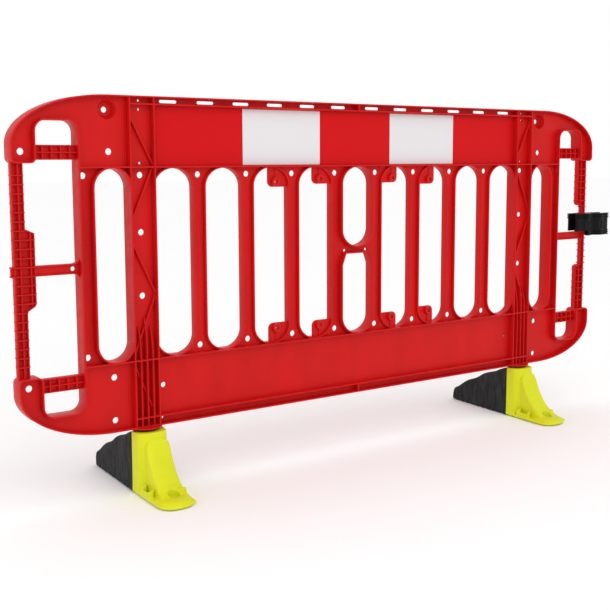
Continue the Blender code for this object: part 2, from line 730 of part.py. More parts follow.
def build_toe():
    """Yellow toe: base flange, collar and sloping tongue, with side tabs and a dimple."""
    first = Shells()
    first.loft([lift(toe_plan(2 * MM), SOLE_Z), lift(toe_plan(0), SOLE_Z + 2 * MM),
                lift(toe_plan(0), FLANGE_TOP - 4 * MM), lift(toe_plan(1.2 * MM), FLANGE_TOP - 1.2 * MM),
                lift(toe_plan(4 * MM), FLANGE_TOP)])
    rest = Shells()
    rest.loft([lift(collar_plan(2.5 * MM), SOLE_Z + 3 * MM), lift(collar_plan(0.5 * MM), FOOT_TOP - 12 * MM),
               lift(collar_plan(0.5 * MM), FOOT_TOP - 3 * MM), lift(collar_plan(-1.5 * MM), FOOT_TOP)])
    slope = [(-40, 139), (-50, 132), (-60, 115), (-73, 90), (-93, 62), (-112, 42), (-128, 27), (-149, 15.5),
             (-172, 11), (-172, 6), (-20, 6), (-20, 139)]
    tongue = [(u * MM, v * MM) for u, v in slope]
    rest.prism(tongue, -32 * MM, 40 * MM, "YZ")
    for side, low, high in ((-1, -63, -49), (-1, -103, -96), (1, -155, -149)):
        inner, outer = 30 * MM, TOE_HALF_BACK + 4.5 * MM
        tab = [(side * inner, 9 * MM), (side * outer, 9 * MM), (side * (outer - 1 * MM), 30 * MM),
               (side * inner, 36 * MM)]
        rest.prism(tab, low * MM, high * MM)
    web = [(-41 * MM, 9 * MM), (-38 * MM, 9 * MM), (-38 * MM, 28 * MM), (-41 * MM, 28 * MM)]
    rest.prism(web, -100 * MM, -52 * MM)
    add_tread(rest, lambda y: TOE_HALF_BACK - 9 * MM, -TOE_REACH + 42 * MM, -12 * MM)
    cutters = Shells()
    cutters.lathe(spigot_bore(), (0, 0, 0), sides=20)
    dimple = [(0, 12 * MM), (9 * MM, 13 * MM), (13 * MM, 17 * MM), (14 * MM, 60 * MM), (0, 60 * MM)]
    cutters.lathe(dimple, (4 * MM, -139 * MM, 0), sides=14)
    for side in (-1, 1):
        bolt_bore(cutters, side, -25 * MM, 5 * MM, BOLT_R + SEAM)
    return fused("toe", first, rest, cutters)


def heel_height(y):
    """Crown line of the heel: a hollow slope in soft steps."""
    t = y / HEEL_REACH
    base = FOOT_TOP * (1 - t) ** 1.08 * (1 + 0.42 * t)
    return base + 2.2 * MM * sin(radians(360 * y / (92 * MM))) * min(1, 4 * t)


def heel_section(y, low):
    """Upright sides under a rounded crown."""
    t = y / HEEL_REACH
    half = TOE_HALF_BACK + (HEEL_HALF_BACK - TOE_HALF_BACK) * t
    high = max(heel_height(y), 30 * MM)
    round_over = min(0.3 * half, 0.4 * high)
    crown = arc(half - round_over, high - round_over, round_over, round_over, 0, 90, 3)
    points = [(half, low), *crown]
    points += [(-u, v) for u, v in reversed(points)]
    return [(u, y, v) for u, v in points]


def build_heel():
    """Black rubber heel, a tall wedge that narrows to its back end."""
    first = Shells()
    steps = 10
    stations = [heel_section(SEAM / 2 + (HEEL_REACH - 8 * MM) * i / steps, SOLE_Z) for i in range(steps + 1)]
    tail = [(u * 0.9, HEEL_REACH, SOLE_Z + (v - SOLE_Z) * 0.55) for u, _, v in stations[-1]]
    first.loft(stations + [tail])
    rest = Shells()
    add_tread(rest, lambda y: (TOE_HALF_BACK - 10 * MM) * (1 - 0.5 * y / HEEL_REACH), 12 * MM, HEEL_REACH - 20 * MM)
    cutters = Shells()
    cutters.lathe(spigot_bore(), (0, 0, 0), sides=20)
    for side in (-1, 1):
        bolt_bore(cutters, side, -5 * MM, 70 * MM, BOLT_R + SEAM)
        bolt_bore(cutters, side, BOLT_SEAT, HEEL_REACH + 40 * MM, BOLT_HEAD_R + 1 * MM)
    return fused("heel", first, rest, cutters)


def build_bush():
    """Thrust washer between column disc and foot."""
    bush = Shells()
    inner, outer = SPIGOT_R + RUNNING, COLUMN_DISC_R - 6 * MM
    low, high = FOOT_TOP + SEAM, DISC_BOTTOM - SEAM
    bush.lathe([(inner, low), (outer, low), (outer, high), (inner, high)], (0, 0, 0), sides=20)
    return bush.mesh("bush")


def build_screw():
    """Retaining screw up into the spigot, with a wide hexagon washer head."""
    screw = Shells()
    head = SCREW_HEAD_R
    under = SCREW_RECESS - SEAM
    screw.lathe([(0, 12 * MM), (head - 5 * MM, 12 * MM), (head - 5 * MM, 20 * MM), (head, 20 * MM),
                 (head, under), (SCREW_R - SEAM, under), (SCREW_R - SEAM, SPIGOT_END + SCREW_DEPTH - 3 * MM),
                 (0, SPIGOT_END + SCREW_DEPTH - 3 * MM)], (0, 0, 0), sides=16)
    return screw.mesh("screw")


def build_bolt(side):
    """Bolt that clamps heel to toe, with its washer head in the heel."""
    bolt = Shells()
    start, under, top = -22 * MM, BOLT_SEAT + SEAM, BOLT_SEAT + 7 * MM
    shank = BOLT_R - 0.1 * MM
    profile = [(0, start), (shank, start), (shank, under), (BOLT_HEAD_R, under), (BOLT_HEAD_R, top), (0, top)]
    bolt.lathe(profile, (side * BOLT_X, 0, BOLT_Z), axis="Y", sides=10)
    return bolt.mesh("bolt")


# ---------------------------------------------------------------- clip
def jaw_outline(grow):
    """Outside of one jaw and its lips, mouth to -X, about the jaw's axis."""
    r = CLIP_BORE_R + CLIP_WALL + grow
    back = arc(0, 0, r, r, -125, 125, 10)
    lip = CLIP_LIP + grow
    outer = CLIP_MOUTH / 2 + 9 * MM + grow
    return back + [(-lip + 4 * MM, outer), (-lip, outer - 4 * MM), (-lip, -outer + 4 * MM), (-lip + 4 * MM, -outer)]


def build_clip():
    """Two open jaws back to back; the near one is cut away below, where it turns over the cross-bar."""
    low = CLIP_BOTTOM
    high = CLIP_BOTTOM + CLIP_HEIGHT
    first = Shells()
    half = CLIP_PITCH / 2
    first.prism(box(CLIP_BORE_R + 4 * MM, CLIP_PITCH - CLIP_BORE_R - 4 * MM, -17 * MM, 17 * MM), low, high, "XY")
    rest = Shells()
    rings = ((low, high, 0), (high - 8 * MM, high - 5 * MM, CLIP_RIB), (high - 15 * MM, high - 12 * MM, CLIP_RIB),
             (low + 5 * MM, low + 8 * MM, CLIP_RIB))
    cutters = Shells()
    over = 20 * MM
    for flip in (1, -1):
        def turned(outline, flip=flip):
            return [(half + flip * (u - half), v) for u, v in outline]
        for start, stop, grow in rings:
            rest.prism(turned(jaw_outline(grow)), start, stop, "XY")
        bore = arc(0, 0, CLIP_BORE_R, CLIP_BORE_R, -125, 125, 12)
        mouth = [(-CLIP_LIP - over, CLIP_MOUTH / 2 + over), (-CLIP_LIP - over, -CLIP_MOUTH / 2 - over)]
        throat = [(-CLIP_LIP, CLIP_MOUTH / 2), *mouth, (-CLIP_LIP, -CLIP_MOUTH / 2)]
        cutters.prism(turned(bore + throat), low - over, high + over, "XY")
    reach = CLIP_LIP + 30 * MM
    bar_top = CROSS_BAR_HEIGHT / 2 + 2 * MM
    cutters.prism(box(-reach, 0, -reach, reach), low - over, bar_top, "XY")
    return fused("clip", first, rest, cutters)


# ---------------------------------------------------------------- assembly
def build():
    for item in list(bpy.data.objects):
        bpy.data.objects.remove(item)
    red = plastic("red_polyethylene", (0.56, 0.012, 0.010), 0.38)
    yellow = plastic("yellow_nylon", (0.70, 0.72, 0.02), 0.42)
    rubber = plastic("recycled_rubber", (0.028, 0.028, 0.030), 0.85)
    black = plastic("black_nylon", (0.012, 0.012, 0.013), 0.45)
    steel = plastic("zinc_plated_steel", (0.55, 0.56, 0.58), 0.35, 1.0)
    sheets = (plastic("red_sheeting", (0.60, 0.02, 0.015), 0.3), plastic("white_sheeting", (0.76, 0.76, 0.76), 0.3))

    frame = empty("barrier_frame", (FRAME_X, FRAME_Y, 0))
    piece("panel", build_panel(), frame, red)
    for face, face_name in ((-1, "front"), (1, "back")):
        for number in range(STRIP_COUNT):
            piece(f"sheet_{face_name}_{number + 1}", build_strip(number, face), frame, sheets[number % 2])

    for side, side_name in ((-1, "left"), (1, "right")):
        pivot = empty(f"foot_pivot_{side_name}", (side * COLUMN_X, 0, 0), frame)
        piece(f"foot_toe_{side_name}", build_toe(), pivot, yellow)
        piece(f"foot_heel_{side_name}", build_heel(), pivot, rubber)
        piece(f"foot_bush_{side_name}", build_bush(), pivot, black)
        piece(f"spigot_screw_{side_name}", build_screw(), frame, steel, (side * COLUMN_X, 0, 0))
        for number, bolt_side in enumerate((-1, 1)):
            piece(f"foot_bolt_{side_name}_{number + 1}", build_bolt(bolt_side), pivot, steel)

    clip_pivot = empty("clip_pivot", (POST_AXIS, 0, MIDDLE), frame)
    piece("clip", build_clip(), clip_pivot, black)


build()
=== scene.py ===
"""Looks of a plastic crowd control barrier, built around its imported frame.

The panel is one red polyethylene moulding, the feet are yellow toes bolted to black rubber heels,
and a black nylon clip turns on the right end post. Measures are in metres.
"""

import json
import logging
from dataclasses import dataclass, field
from enum import Enum
from math import cos, pi, radians, sin
from typing import Iterable, Optional, Sequence

import bmesh
import bpy
from mathutils import Matrix, Vector, noise

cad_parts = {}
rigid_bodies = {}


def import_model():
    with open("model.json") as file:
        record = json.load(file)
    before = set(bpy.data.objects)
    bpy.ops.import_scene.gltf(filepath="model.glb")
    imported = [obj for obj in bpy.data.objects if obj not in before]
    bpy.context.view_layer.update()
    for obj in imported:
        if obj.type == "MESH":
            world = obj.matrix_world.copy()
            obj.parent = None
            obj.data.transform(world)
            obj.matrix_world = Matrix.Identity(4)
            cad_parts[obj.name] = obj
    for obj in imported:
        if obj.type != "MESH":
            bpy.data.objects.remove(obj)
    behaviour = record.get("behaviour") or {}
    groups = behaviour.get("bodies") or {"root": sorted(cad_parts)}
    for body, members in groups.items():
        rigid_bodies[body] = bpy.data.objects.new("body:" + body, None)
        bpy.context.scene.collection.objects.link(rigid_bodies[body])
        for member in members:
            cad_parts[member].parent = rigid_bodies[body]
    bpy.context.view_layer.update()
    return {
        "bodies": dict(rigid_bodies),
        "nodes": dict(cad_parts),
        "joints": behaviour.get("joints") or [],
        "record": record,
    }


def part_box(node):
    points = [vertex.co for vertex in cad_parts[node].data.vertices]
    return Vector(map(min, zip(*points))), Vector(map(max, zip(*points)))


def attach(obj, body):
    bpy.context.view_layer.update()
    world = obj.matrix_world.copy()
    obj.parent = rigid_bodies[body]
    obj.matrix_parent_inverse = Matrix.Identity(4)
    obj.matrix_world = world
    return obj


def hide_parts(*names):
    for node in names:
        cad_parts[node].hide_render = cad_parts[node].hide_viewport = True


MM = 0.001
Point = tuple[float, float]
Outline = list[Point]

logging.basicConfig(level=logging.INFO, format="%(name)s %(relativeCreated)6d ms: %(message)s")
log = logging.getLogger("barrier")


# ---------------------------------------------------------------- outlines
def arc(cu: float, cv: float, ru: float, rv: float, start: float, stop: float, steps: int) -> Outline:
    """Points on an elliptical arc.

    Args:
        cu, cv: centre.
        ru, rv: half axes.
        start, stop: angles in degrees.
        steps: number of chords.

    Returns:
        steps + 1 points from start to stop.
    """
    angles = [radians(start + (stop - start) * i / steps) for i in range(steps + 1)]
    return [(cu + ru * cos(a), cv + rv * sin(a)) for a in angles]


def circle(cu: float, cv: float, r: float, sides: int = 24) -> Outline:
    """Closed circle of that many sides."""
    return arc(cu, cv, r, r, 0, 360 * (sides - 1) / sides, sides - 1)


def box(u0: float, u1: float, v0: float, v1: float) -> Outline:
    """Closed rectangle."""
    return [(u0, v0), (u1, v0), (u1, v1), (u0, v1)]


def strip(start: Point, stop: Point, width: float) -> Outline:
    """Straight strip of a width from start to stop."""
    a, b = Vector(start), Vector(stop)
    along = (b - a).normalized()
    side = Vector((-along.y, along.x)) * width / 2
    return [tuple(a + side), tuple(a - side), tuple(b - side), tuple(b + side)]


def slot_outline(u: float, low: float, high: float, half: float, end: float, steps: int) -> Outline:
    """Upright slot with half-elliptical ends."""
    return arc(u, high - end, half, end, 0, 180, steps) + arc(u, low + end, half, end, 180, 360, steps)


def superellipse(half_u: float, half_v: float, power: float, start: float, stop: float,
                 steps: int) -> Outline:
    """Rounded-square arc between two angles in degrees."""
    points = []
    for u, v in arc(0, 0, 1, 1, start, stop, steps):
        points.append((half_u * abs(u) ** (2 / power) * (1 if u >= 0 else -1),
                       half_v * abs(v) ** (2 / power) * (1 if v >= 0 else -1)))
    return points


def offset(outline: Outline, distance: float) -> Outline:
    """Outline moved inward by a distance, with mitred corners; a negative distance moves it outward."""
    count = len(outline)
    area = sum(outline[i - 1][0] * outline[i][1] - outline[i][0] * outline[i - 1][1] for i in range(count))
    turn = 1 if area > 0 else -1
    moved = []
    for i in range(count):
        here = Vector(outline[i])
        before = (here - Vector(outline[i - 1])).normalized()
        after = (Vector(outline[(i + 1) % count]) - here).normalized()
        side_a = Vector((-before.y, before.x)) * turn
        middle = (side_a + Vector((-after.y, after.x)) * turn).normalized()
        moved.append(tuple(here + middle * distance / max(0.3, middle.dot(side_a))))
    return moved


def mirrored(outline: Outline) -> Outline:
    """Outline on the other side of the panel's middle."""
    return [(-u, v) for u, v in reversed(outline)]


# ---------------------------------------------------------------- solids
class Plane(Enum):
    """The plane an outline is drawn in."""

    ELEVATION = "XZ"
    PLAN = "XY"
    SIDE = "YZ"

    def place(self, u: float, v: float, w: float) -> Vector:
        """Point in space for a point of the plane and a distance across it."""
        if self is Plane.ELEVATION:
            return Vector((u, w, v))
        if self is Plane.PLAN:
            return Vector((u, v, w))
        return Vector((w, u, v))


class Shells:
    """Closed shells gathered in one mesh."""

    def __init__(self) -> None:
        """Start with an empty gathering."""
        self.bm = bmesh.new()

    def _close(self, faces: Iterable[bmesh.types.BMFace]) -> None:
        """Turn one shell's faces outward."""
        bmesh.ops.recalc_face_normals(self.bm, faces=list(faces))

    def _ring(self, outline: Outline, plane: Plane, w: float) -> list[bmesh.types.BMVert]:
        """New vertices for an outline at a distance across its plane."""
        return [self.bm.verts.new(plane.place(u, v, w)) for u, v in outline]

    def prism(self, outline: Outline, low: float, high: float, plane: Plane = Plane.ELEVATION,
              holes: Sequence[Outline] = (), edge: float = 0.0, steps: int = 2) -> None:
        """Outline with holes carried across its plane, its rims rounded.

        Args:
            outline: outer edge.
            low, high: where it starts and ends across the plane.
            plane: the plane of the outline.
            holes: inner edges.
            edge: radius of the rounded rims; 0 leaves them sharp.
            steps: chords in each rounding.
        """
        if edge:
            turns = [radians(90 * i / steps) for i in range(steps + 1)]
            levels = [(low + edge * (1 - cos(t)), edge * (1 - sin(t))) for t in turns]
            levels += [(high - depth + low, inset) for depth, inset in reversed(levels)]
        else:
            levels = [(low, 0.0), (high, 0.0)]
        faces = []
        caps = ([], [])
        for number, loop in enumerate((outline, *holes)):
            way = 1 if number == 0 else -1
            rings = []
            for w, inset in levels:
                rings.append(self._ring(offset(loop, inset * way) if inset else loop, plane, w))
            for ring_a, ring_b in zip(rings, rings[1:]):
                for i in range(len(loop)):
                    faces.append(self.bm.faces.new((ring_a[i - 1], ring_a[i], ring_b[i], ring_b[i - 1])))
            for cap, ring in zip(caps, (rings[0], rings[-1])):
                cap += [self.bm.edges.get((ring[i - 1], ring[i])) for i in range(len(ring))]
        for cap in caps:
            filled = bmesh.ops.triangle_fill(self.bm, edges=cap, use_beauty=True)
            faces += [item for item in filled["geom"] if isinstance(item, bmesh.types.BMFace)]
        self._close(faces)

    def plate(self, outline: Outline, half_depth: float, holes: Sequence[Outline] = (),
              edge: float = 0.0) -> None:
        """Prism in the panel's plane, as deep to the front as to the back."""
        self.prism(outline, -half_depth, half_depth, Plane.ELEVATION, holes, edge)

    def loft(self, stations: Sequence[Sequence[Vector]]) -> None:
        """Skin over a row of rings with the same number of points, closed by flat ends."""
        rings = [[self.bm.verts.new(point) for point in station] for station in stations]
        faces = [self.bm.faces.new(rings[0]), self.bm.faces.new(rings[-1])]
        for ring_a, ring_b in zip(rings, rings[1:]):
            for i in range(len(ring_a)):
                faces.append(self.bm.faces.new((ring_a[i - 1], ring_a[i], ring_b[i], ring_b[i - 1])))
        self._close(faces)

    def lathe(self, profile: Outline, centre: Vector, along_y: bool = False, sides: int = 48) -> None:
        """Closed profile of (radius, height) points turned about Z, or about Y, through a centre."""
        rings = []
        for i in range(sides):
            angle = 2 * pi * i / sides
            ring = []
            for r, h in profile:
                spot = (r * cos(angle), h, r * sin(angle)) if along_y else (r * cos(angle), r * sin(angle), h)
                ring.append(self.bm.verts.new(Vector(centre) + Vector(spot)))
            rings.append(ring)
        faces = []
        for i in range(sides):
            for j in range(len(profile)):
                corners = (rings[i - 1][j - 1], rings[i - 1][j], rings[i][j], rings[i][j - 1])
                faces.append(self.bm.faces.new(corners))
        verts = [v for ring in rings for v in ring]
        on_axis = [v for ring in rings for v, (r, _) in zip(ring, profile) if r == 0]
        bmesh.ops.remove_doubles(self.bm, verts=on_axis, dist=1e-7)
        self._close({face for v in verts if v.is_valid for face in v.link_faces})

    def mesh(self, name: str) -> bpy.types.Mesh:
        """The gathered shells as a mesh; the gathering is then spent."""
        mesh = bpy.data.meshes.new(name)
        self.bm.to_mesh(mesh)
        self.bm.free()
        return mesh


def new_object(name: str, mesh: Optional[bpy.types.Mesh]) -> bpy.types.Object:
    """Object linked into the scene."""
    item = bpy.data.objects.new(name, mesh)
    bpy.context.scene.collection.objects.link(item)
    return item


def applied(item: bpy.types.Object) -> bpy.types.Object:
    """The object with its modifiers turned into plain mesh."""
    graph = bpy.context.evaluated_depsgraph_get()
    mesh = bpy.data.meshes.new_from_object(item.evaluated_get(graph))
    item.modifiers.clear()
    item.data = mesh
    return item


def fused(name: str, first: Shells, rest: Optional[Shells] = None,
          cut: Optional[Shells] = None) -> bpy.types.Object:
    """First shell united with the rest, less the cutters."""
    body = new_object(name, first.mesh(name))
    helpers = []
    for operation, shells in (("UNION", rest), ("DIFFERENCE", cut)):
        if shells is None:
            continue
        helper = new_object(f"{name}_{operation.lower()}", shells.mesh(name))
        helpers.append(helper)
        modifier = body.modifiers.new(operation, "BOOLEAN")
        modifier.operation = operation
        modifier.solver = "EXACT"
        modifier.use_self = True
        modifier.object = helper
    applied(body)
    for helper in helpers:
        bpy.data.objects.remove(helper)
    bm = bmesh.new()
    bm.from_mesh(body.data)
    bmesh.ops.remove_doubles(bm, verts=bm.verts, dist=4e-6)
    bmesh.ops.dissolve_degenerate(bm, edges=bm.edges, dist=1e-6)
    bm.to_mesh(body.data)
    bm.free()
    return body


def softened(item: bpy.types.Object, voxel: float, passes: int) -> bpy.types.Object:
    """Moulded fillets all over: an even skin, eased by a few smoothing passes."""
    remesh = item.modifiers.new("skin", "REMESH")
    remesh.mode = "VOXEL"
    remesh.voxel_size = voxel
    remesh.use_smooth_shade = True
    ease = item.modifiers.new("ease", "SMOOTH")
    ease.factor = 0.5
    ease.iterations = passes
    return applied(item)


def joined(name: str, items: Sequence[bpy.types.Object]) -> bpy.types.Object:
    """One object holding the meshes of several, which are removed."""
    bm = bmesh.new()
    for item in items:
        bm.from_mesh(item.data)
    mesh = bpy.data.meshes.new(name)
    bm.to_mesh(mesh)
    bm.free()
    for item in items:
        bpy.data.objects.remove(item)
    return new_object(name, mesh)


# ---------------------------------------------------------------- node trees
def linear(code: str) -> tuple[float, float, float, float]:
    """Linear colour for an sRGB hex value."""
    values = [int(code[i:i + 2], 16) / 255 for i in (0, 2, 4)]
    return (*[v / 12.92 if v <= 0.04045 else ((v + 0.055) / 1.055) ** 2.4 for v in values], 1.0)


def add_node(tree: bpy.types.NodeTree, kind: str, settings: Optional[dict] = None,
             values: Optional[dict] = None, links: Optional[dict] = None) -> bpy.types.Node:
    """Node with its settings, socket values and incoming links.

    Args:
        tree: tree it goes into.
        kind: the node's type name.
        settings: attribute values.
        values: input socket name or number to constant.
        links: input socket name or number to output socket.

    Returns:
        The new node.
    """
    node = tree.nodes.new(kind)
    for name, value in (settings or {}).items():
        setattr(node, name, value)
    for name, value in (values or {}).items():
        node.inputs[name].default_value = value
    for name, output in (links or {}).items():
        tree.links.new(output, node.inputs[name])
    return node


def new_material(name: str) -> tuple[bpy.types.Material, bpy.types.Node, bpy.types.NodeTree]:
    """Material with its shader node and tree."""
    material = bpy.data.materials.new(name)
    material.use_nodes = True
    return material, material.node_tree.nodes["Principled BSDF"], material.node_tree


def object_noise(tree: bpy.types.NodeTree, grain: float, detail: float = 2.0,
                 stretch: Sequence[float] = (1, 1, 1)) -> bpy.types.NodeSocket:
    """Noise on object coordinates whose grain measures that many metres."""
    place = add_node(tree, "ShaderNodeTexCoord")
    mapping = add_node(tree, "ShaderNodeMapping", None, {"Scale": tuple(stretch)},
                       {"Vector": place.outputs["Object"]})
    pattern = add_node(tree, "ShaderNodeTexNoise", None, {"Scale": 1 / grain, "Detail": detail},
                       {"Vector": mapping.outputs["Vector"]})
    return pattern.outputs["Fac"]


def ranged(tree: bpy.types.NodeTree, source: bpy.types.NodeSocket, low: float, high: float,
           start: float = 0.3, stop: float = 0.7) -> bpy.types.NodeSocket:
    """Source carried from start..stop to low..high."""
    node = add_node(tree, "ShaderNodeMapRange", None,
                    {"From Min": start, "From Max": stop, "To Min": low, "To Max": high}, {"Value": source})
    return node.outputs["Result"]


def mixed(tree: bpy.types.NodeTree, share: bpy.types.NodeSocket, first: str,
          second: str) -> bpy.types.NodeSocket:
    """Colour between two hex values by a share."""
    node = add_node(tree, "ShaderNodeMix", {"data_type": "RGBA"}, None, {"Factor": share})
    node.inputs["A"].default_value = linear(first)
    node.inputs["B"].default_value = linear(second)
    return node.outputs["Result"]


def bumped(tree: bpy.types.NodeTree, height: bpy.types.NodeSocket, depth: float, strength: float,
           under: Optional[bpy.types.NodeSocket] = None) -> bpy.types.NodeSocket:
    """Normal from a height pattern that stands that many metres high."""
    links = {"Height": height}
    if under is not None:
        links["Normal"] = under
    node = add_node(tree, "ShaderNodeBump", None, {"Distance": depth, "Strength": strength}, links)
    return node.outputs["Normal"]


# ---------------------------------------------------------------- finishes
@dataclass(frozen=True)
class MouldedPlastic:
    """Injection-moulded plastic: faint spark-eroded grain and slow flow marks in the colour."""

    name: str
    colour: str
    shade: str
    roughness: float = 0.42
    spread: float = 0.08
    gleam: float = 0.22              # share of the usual surface reflection
    grain: float = 1.2 * MM          # drawn coarser than the real 0.3 mm grain, so that it shows
    grain_depth: float = 0.05 * MM
    flow: float = 70 * MM

    def build(self) -> bpy.types.Material:
        """The material."""
        material, shader, tree = new_material(self.name)
        shader.inputs["Specular IOR Level"].default_value = self.gleam
        flow = object_noise(tree, self.flow, 3.0, (1, 1, 0.4))
        colour = mixed(tree, ranged(tree, flow, 0, 1), self.colour, self.shade)
        tree.links.new(colour, shader.inputs["Base Color"])
        patch = object_noise(tree, self.flow / 3, 4.0)
        gloss = ranged(tree, patch, self.roughness - self.spread, self.roughness + self.spread)
        tree.links.new(gloss, shader.inputs["Roughness"])
        grain = object_noise(tree, self.grain, 2.0)
        slow = bumped(tree, flow, 0.4 * MM, 0.25)
        tree.links.new(bumped(tree, grain, self.grain_depth, 0.5, slow), shader.inputs["Normal"])
        return material


@dataclass(frozen=True)
class PrismSheet:
    """Reflective sheeting: clear film over a lattice of sealed prism cells."""

    name: str
    colour: str
    shade: str
    cell: float = 5 * MM
    seam: float = 0.08

    def build(self) -> bpy.types.Material:
        """The material."""
        material, shader, tree = new_material(self.name)
        place = add_node(tree, "ShaderNodeTexCoord")
        turned = add_node(tree, "ShaderNodeMapping", None, {"Rotation": (0, radians(45), 0)},
                          {"Vector": place.outputs["Object"]})
        cells = add_node(tree, "ShaderNodeTexVoronoi", {"feature": "DISTANCE_TO_EDGE"},
                         {"Scale": 1 / self.cell, "Randomness": 0.0}, {"Vector": turned.outputs["Vector"]})
        line = ranged(tree, cells.outputs["Distance"], 1, 0, 0.0, self.seam)
        tree.links.new(mixed(tree, line, self.colour, self.shade), shader.inputs["Base Color"])
        shader.inputs["Roughness"].default_value = 0.42
        shader.inputs["Specular IOR Level"].default_value = 0.06
        shader.inputs["Coat Weight"].default_value = 0.04
        shader.inputs["Coat Roughness"].default_value = 0.18
        tree.links.new(bumped(tree, cells.outputs["Distance"], 0.06 * MM, 0.3), shader.inputs["Normal"])
        return material


@dataclass(frozen=True)
class CrumbRubber:
    """Pressed recycled rubber: black crumb with paler streaks where it flowed, dull and pitted."""

    name: str = "recycled_crumb_rubber"
    colour: str = "181819"
    streak: str = "333334"
    crumb: float = 3.5 * MM

    def build(self) -> bpy.types.Material:
        """The material."""
        material, shader, tree = new_material(self.name)
        shader.inputs["Specular IOR Level"].default_value = 0.25
        streaks = object_noise(tree, 22 * MM, 5.0, (1.6, 1.6, 0.45))
        tree.links.new(mixed(tree, ranged(tree, streaks, 0, 1, 0.35, 0.68), self.colour, self.streak),
                       shader.inputs["Base Color"])
        crumb = object_noise(tree, self.crumb, 4.0)
        tree.links.new(ranged(tree, crumb, 0.72, 0.95), shader.inputs["Roughness"])
        tree.links.new(bumped(tree, crumb, 0.5 * MM, 0.6), shader.inputs["Normal"])
        return material


@dataclass(frozen=True)
class ZincPlate:
    """Zinc-plated steel: bright metal with a faintly cloudy plating."""

    name: str = "zinc_plated_steel"

    def build(self) -> bpy.types.Material:
        """The material."""
        material, shader, tree = new_material(self.name)
        shader.inputs["Metallic"].default_value = 1.0
        cloud = object_noise(tree, 6 * MM, 3.0)
        tree.links.new(mixed(tree, cloud, "C9CBCD", "AEB1B4"), shader.inputs["Base Color"])
        tree.links.new(ranged(tree, cloud, 0.24, 0.42), shader.inputs["Roughness"])
        return material


@dataclass
class Finishes:
    """Every finish of the barrier, made once."""

    red: bpy.types.Material = field(
        default_factory=MouldedPlastic("red_polyethylene", "CC1212", "C01010", gleam=0.15).build)
    yellow: bpy.types.Material = field(
        default_factory=MouldedPlastic("yellow_polypropylene", "DCE01C", "D2D718", 0.42, 0.05).build)
    nylon: bpy.types.Material = field(
        default_factory=MouldedPlastic("black_glass_filled_nylon", "08090A", "0E0F10", 0.46,
                                       gleam=0.12).build)
    rubber: bpy.types.Material = field(default_factory=CrumbRubber().build)
    zinc: bpy.types.Material = field(default_factory=ZincPlate().build)
    red_sheet: bpy.types.Material = field(
        default_factory=PrismSheet("red_sheeting", "D01216", "C21014").build)
    white_sheet: bpy.types.Material = field(
        default_factory=PrismSheet("white_sheeting", "E4E2E3", "D5D3D6").build)


def dress(item: bpy.types.Object, material: bpy.types.Material, angle: float = 32) -> None:
    """Give a piece its finish, and shade it smooth but for its real edges."""
    item.data.materials.clear()
    item.data.materials.append(material)
    item.data.shade_smooth()
    item.data.set_sharp_from_angle(angle=radians(angle))


# ---------------------------------------------------------------- repeats
class RowTree:
    """Geometry Nodes tree that sets copies of one object along a straight row."""

    def __init__(self) -> None:
        """Build the tree, and note the identifier of each input."""
        tree = bpy.data.node_groups.new("row_of_copies", "GeometryNodeTree")
        face = tree.interface
        face.new_socket(name="Geometry", in_out="INPUT", socket_type="NodeSocketGeometry")
        kinds = (("Count", "NodeSocketInt"), ("Start", "NodeSocketVector"), ("Step", "NodeSocketVector"),
                 ("Piece", "NodeSocketObject"), ("Finish", "NodeSocketMaterial"))
        self.keys = {name: face.new_socket(name=name, in_out="INPUT", socket_type=kind).identifier
                     for name, kind in kinds}
        face.new_socket(name="Geometry", in_out="OUTPUT", socket_type="NodeSocketGeometry")
        start = add_node(tree, "NodeGroupInput")
        row = add_node(tree, "GeometryNodeMeshLine", {"mode": "OFFSET"}, None,
                       {"Count": start.outputs["Count"], "Start Location": start.outputs["Start"],
                        "Offset": start.outputs["Step"]})
        piece = add_node(tree, "GeometryNodeObjectInfo", None, None, {"Object": start.outputs["Piece"]})
        copies = add_node(tree, "GeometryNodeInstanceOnPoints", None, None,
                          {"Points": row.outputs["Mesh"], "Instance": piece.outputs["Geometry"]})
        real = add_node(tree, "GeometryNodeRealizeInstances", None, None,
                        {"Geometry": copies.outputs["Instances"]})
        finish = add_node(tree, "GeometryNodeSetMaterial", None, None,
                          {"Geometry": real.outputs["Geometry"], "Material": start.outputs["Finish"]})
        add_node(tree, "NodeGroupOutput", None, None, {"Geometry": finish.outputs["Geometry"]})
        self.tree = tree

    def row(self, name: str, piece: bpy.types.Object, start: Vector, step: Vector, count: int,
            finish: bpy.types.Material) -> bpy.types.Object:
        """Copies of a piece as one plain mesh.

        Args:
            name: name of the result.
            piece: the object to repeat, modelled about the origin.
            start: place of the first copy.
            step: from one copy to the next.
            count: number of copies.
            finish: material of the copies.

        Returns:
            The row, its modifier removed.
        """
        host = new_object(name, bpy.data.meshes.new(name))
        modifier = host.modifiers.new("row", "NODES")
        values = {"Count": count, "Start": tuple(start), "Step": tuple(step), "Piece": piece,
                  "Finish": finish}
        modifier.node_group = self.tree
        for key, value in values.items():
            modifier[self.keys[key]] = value
        return applied(host)


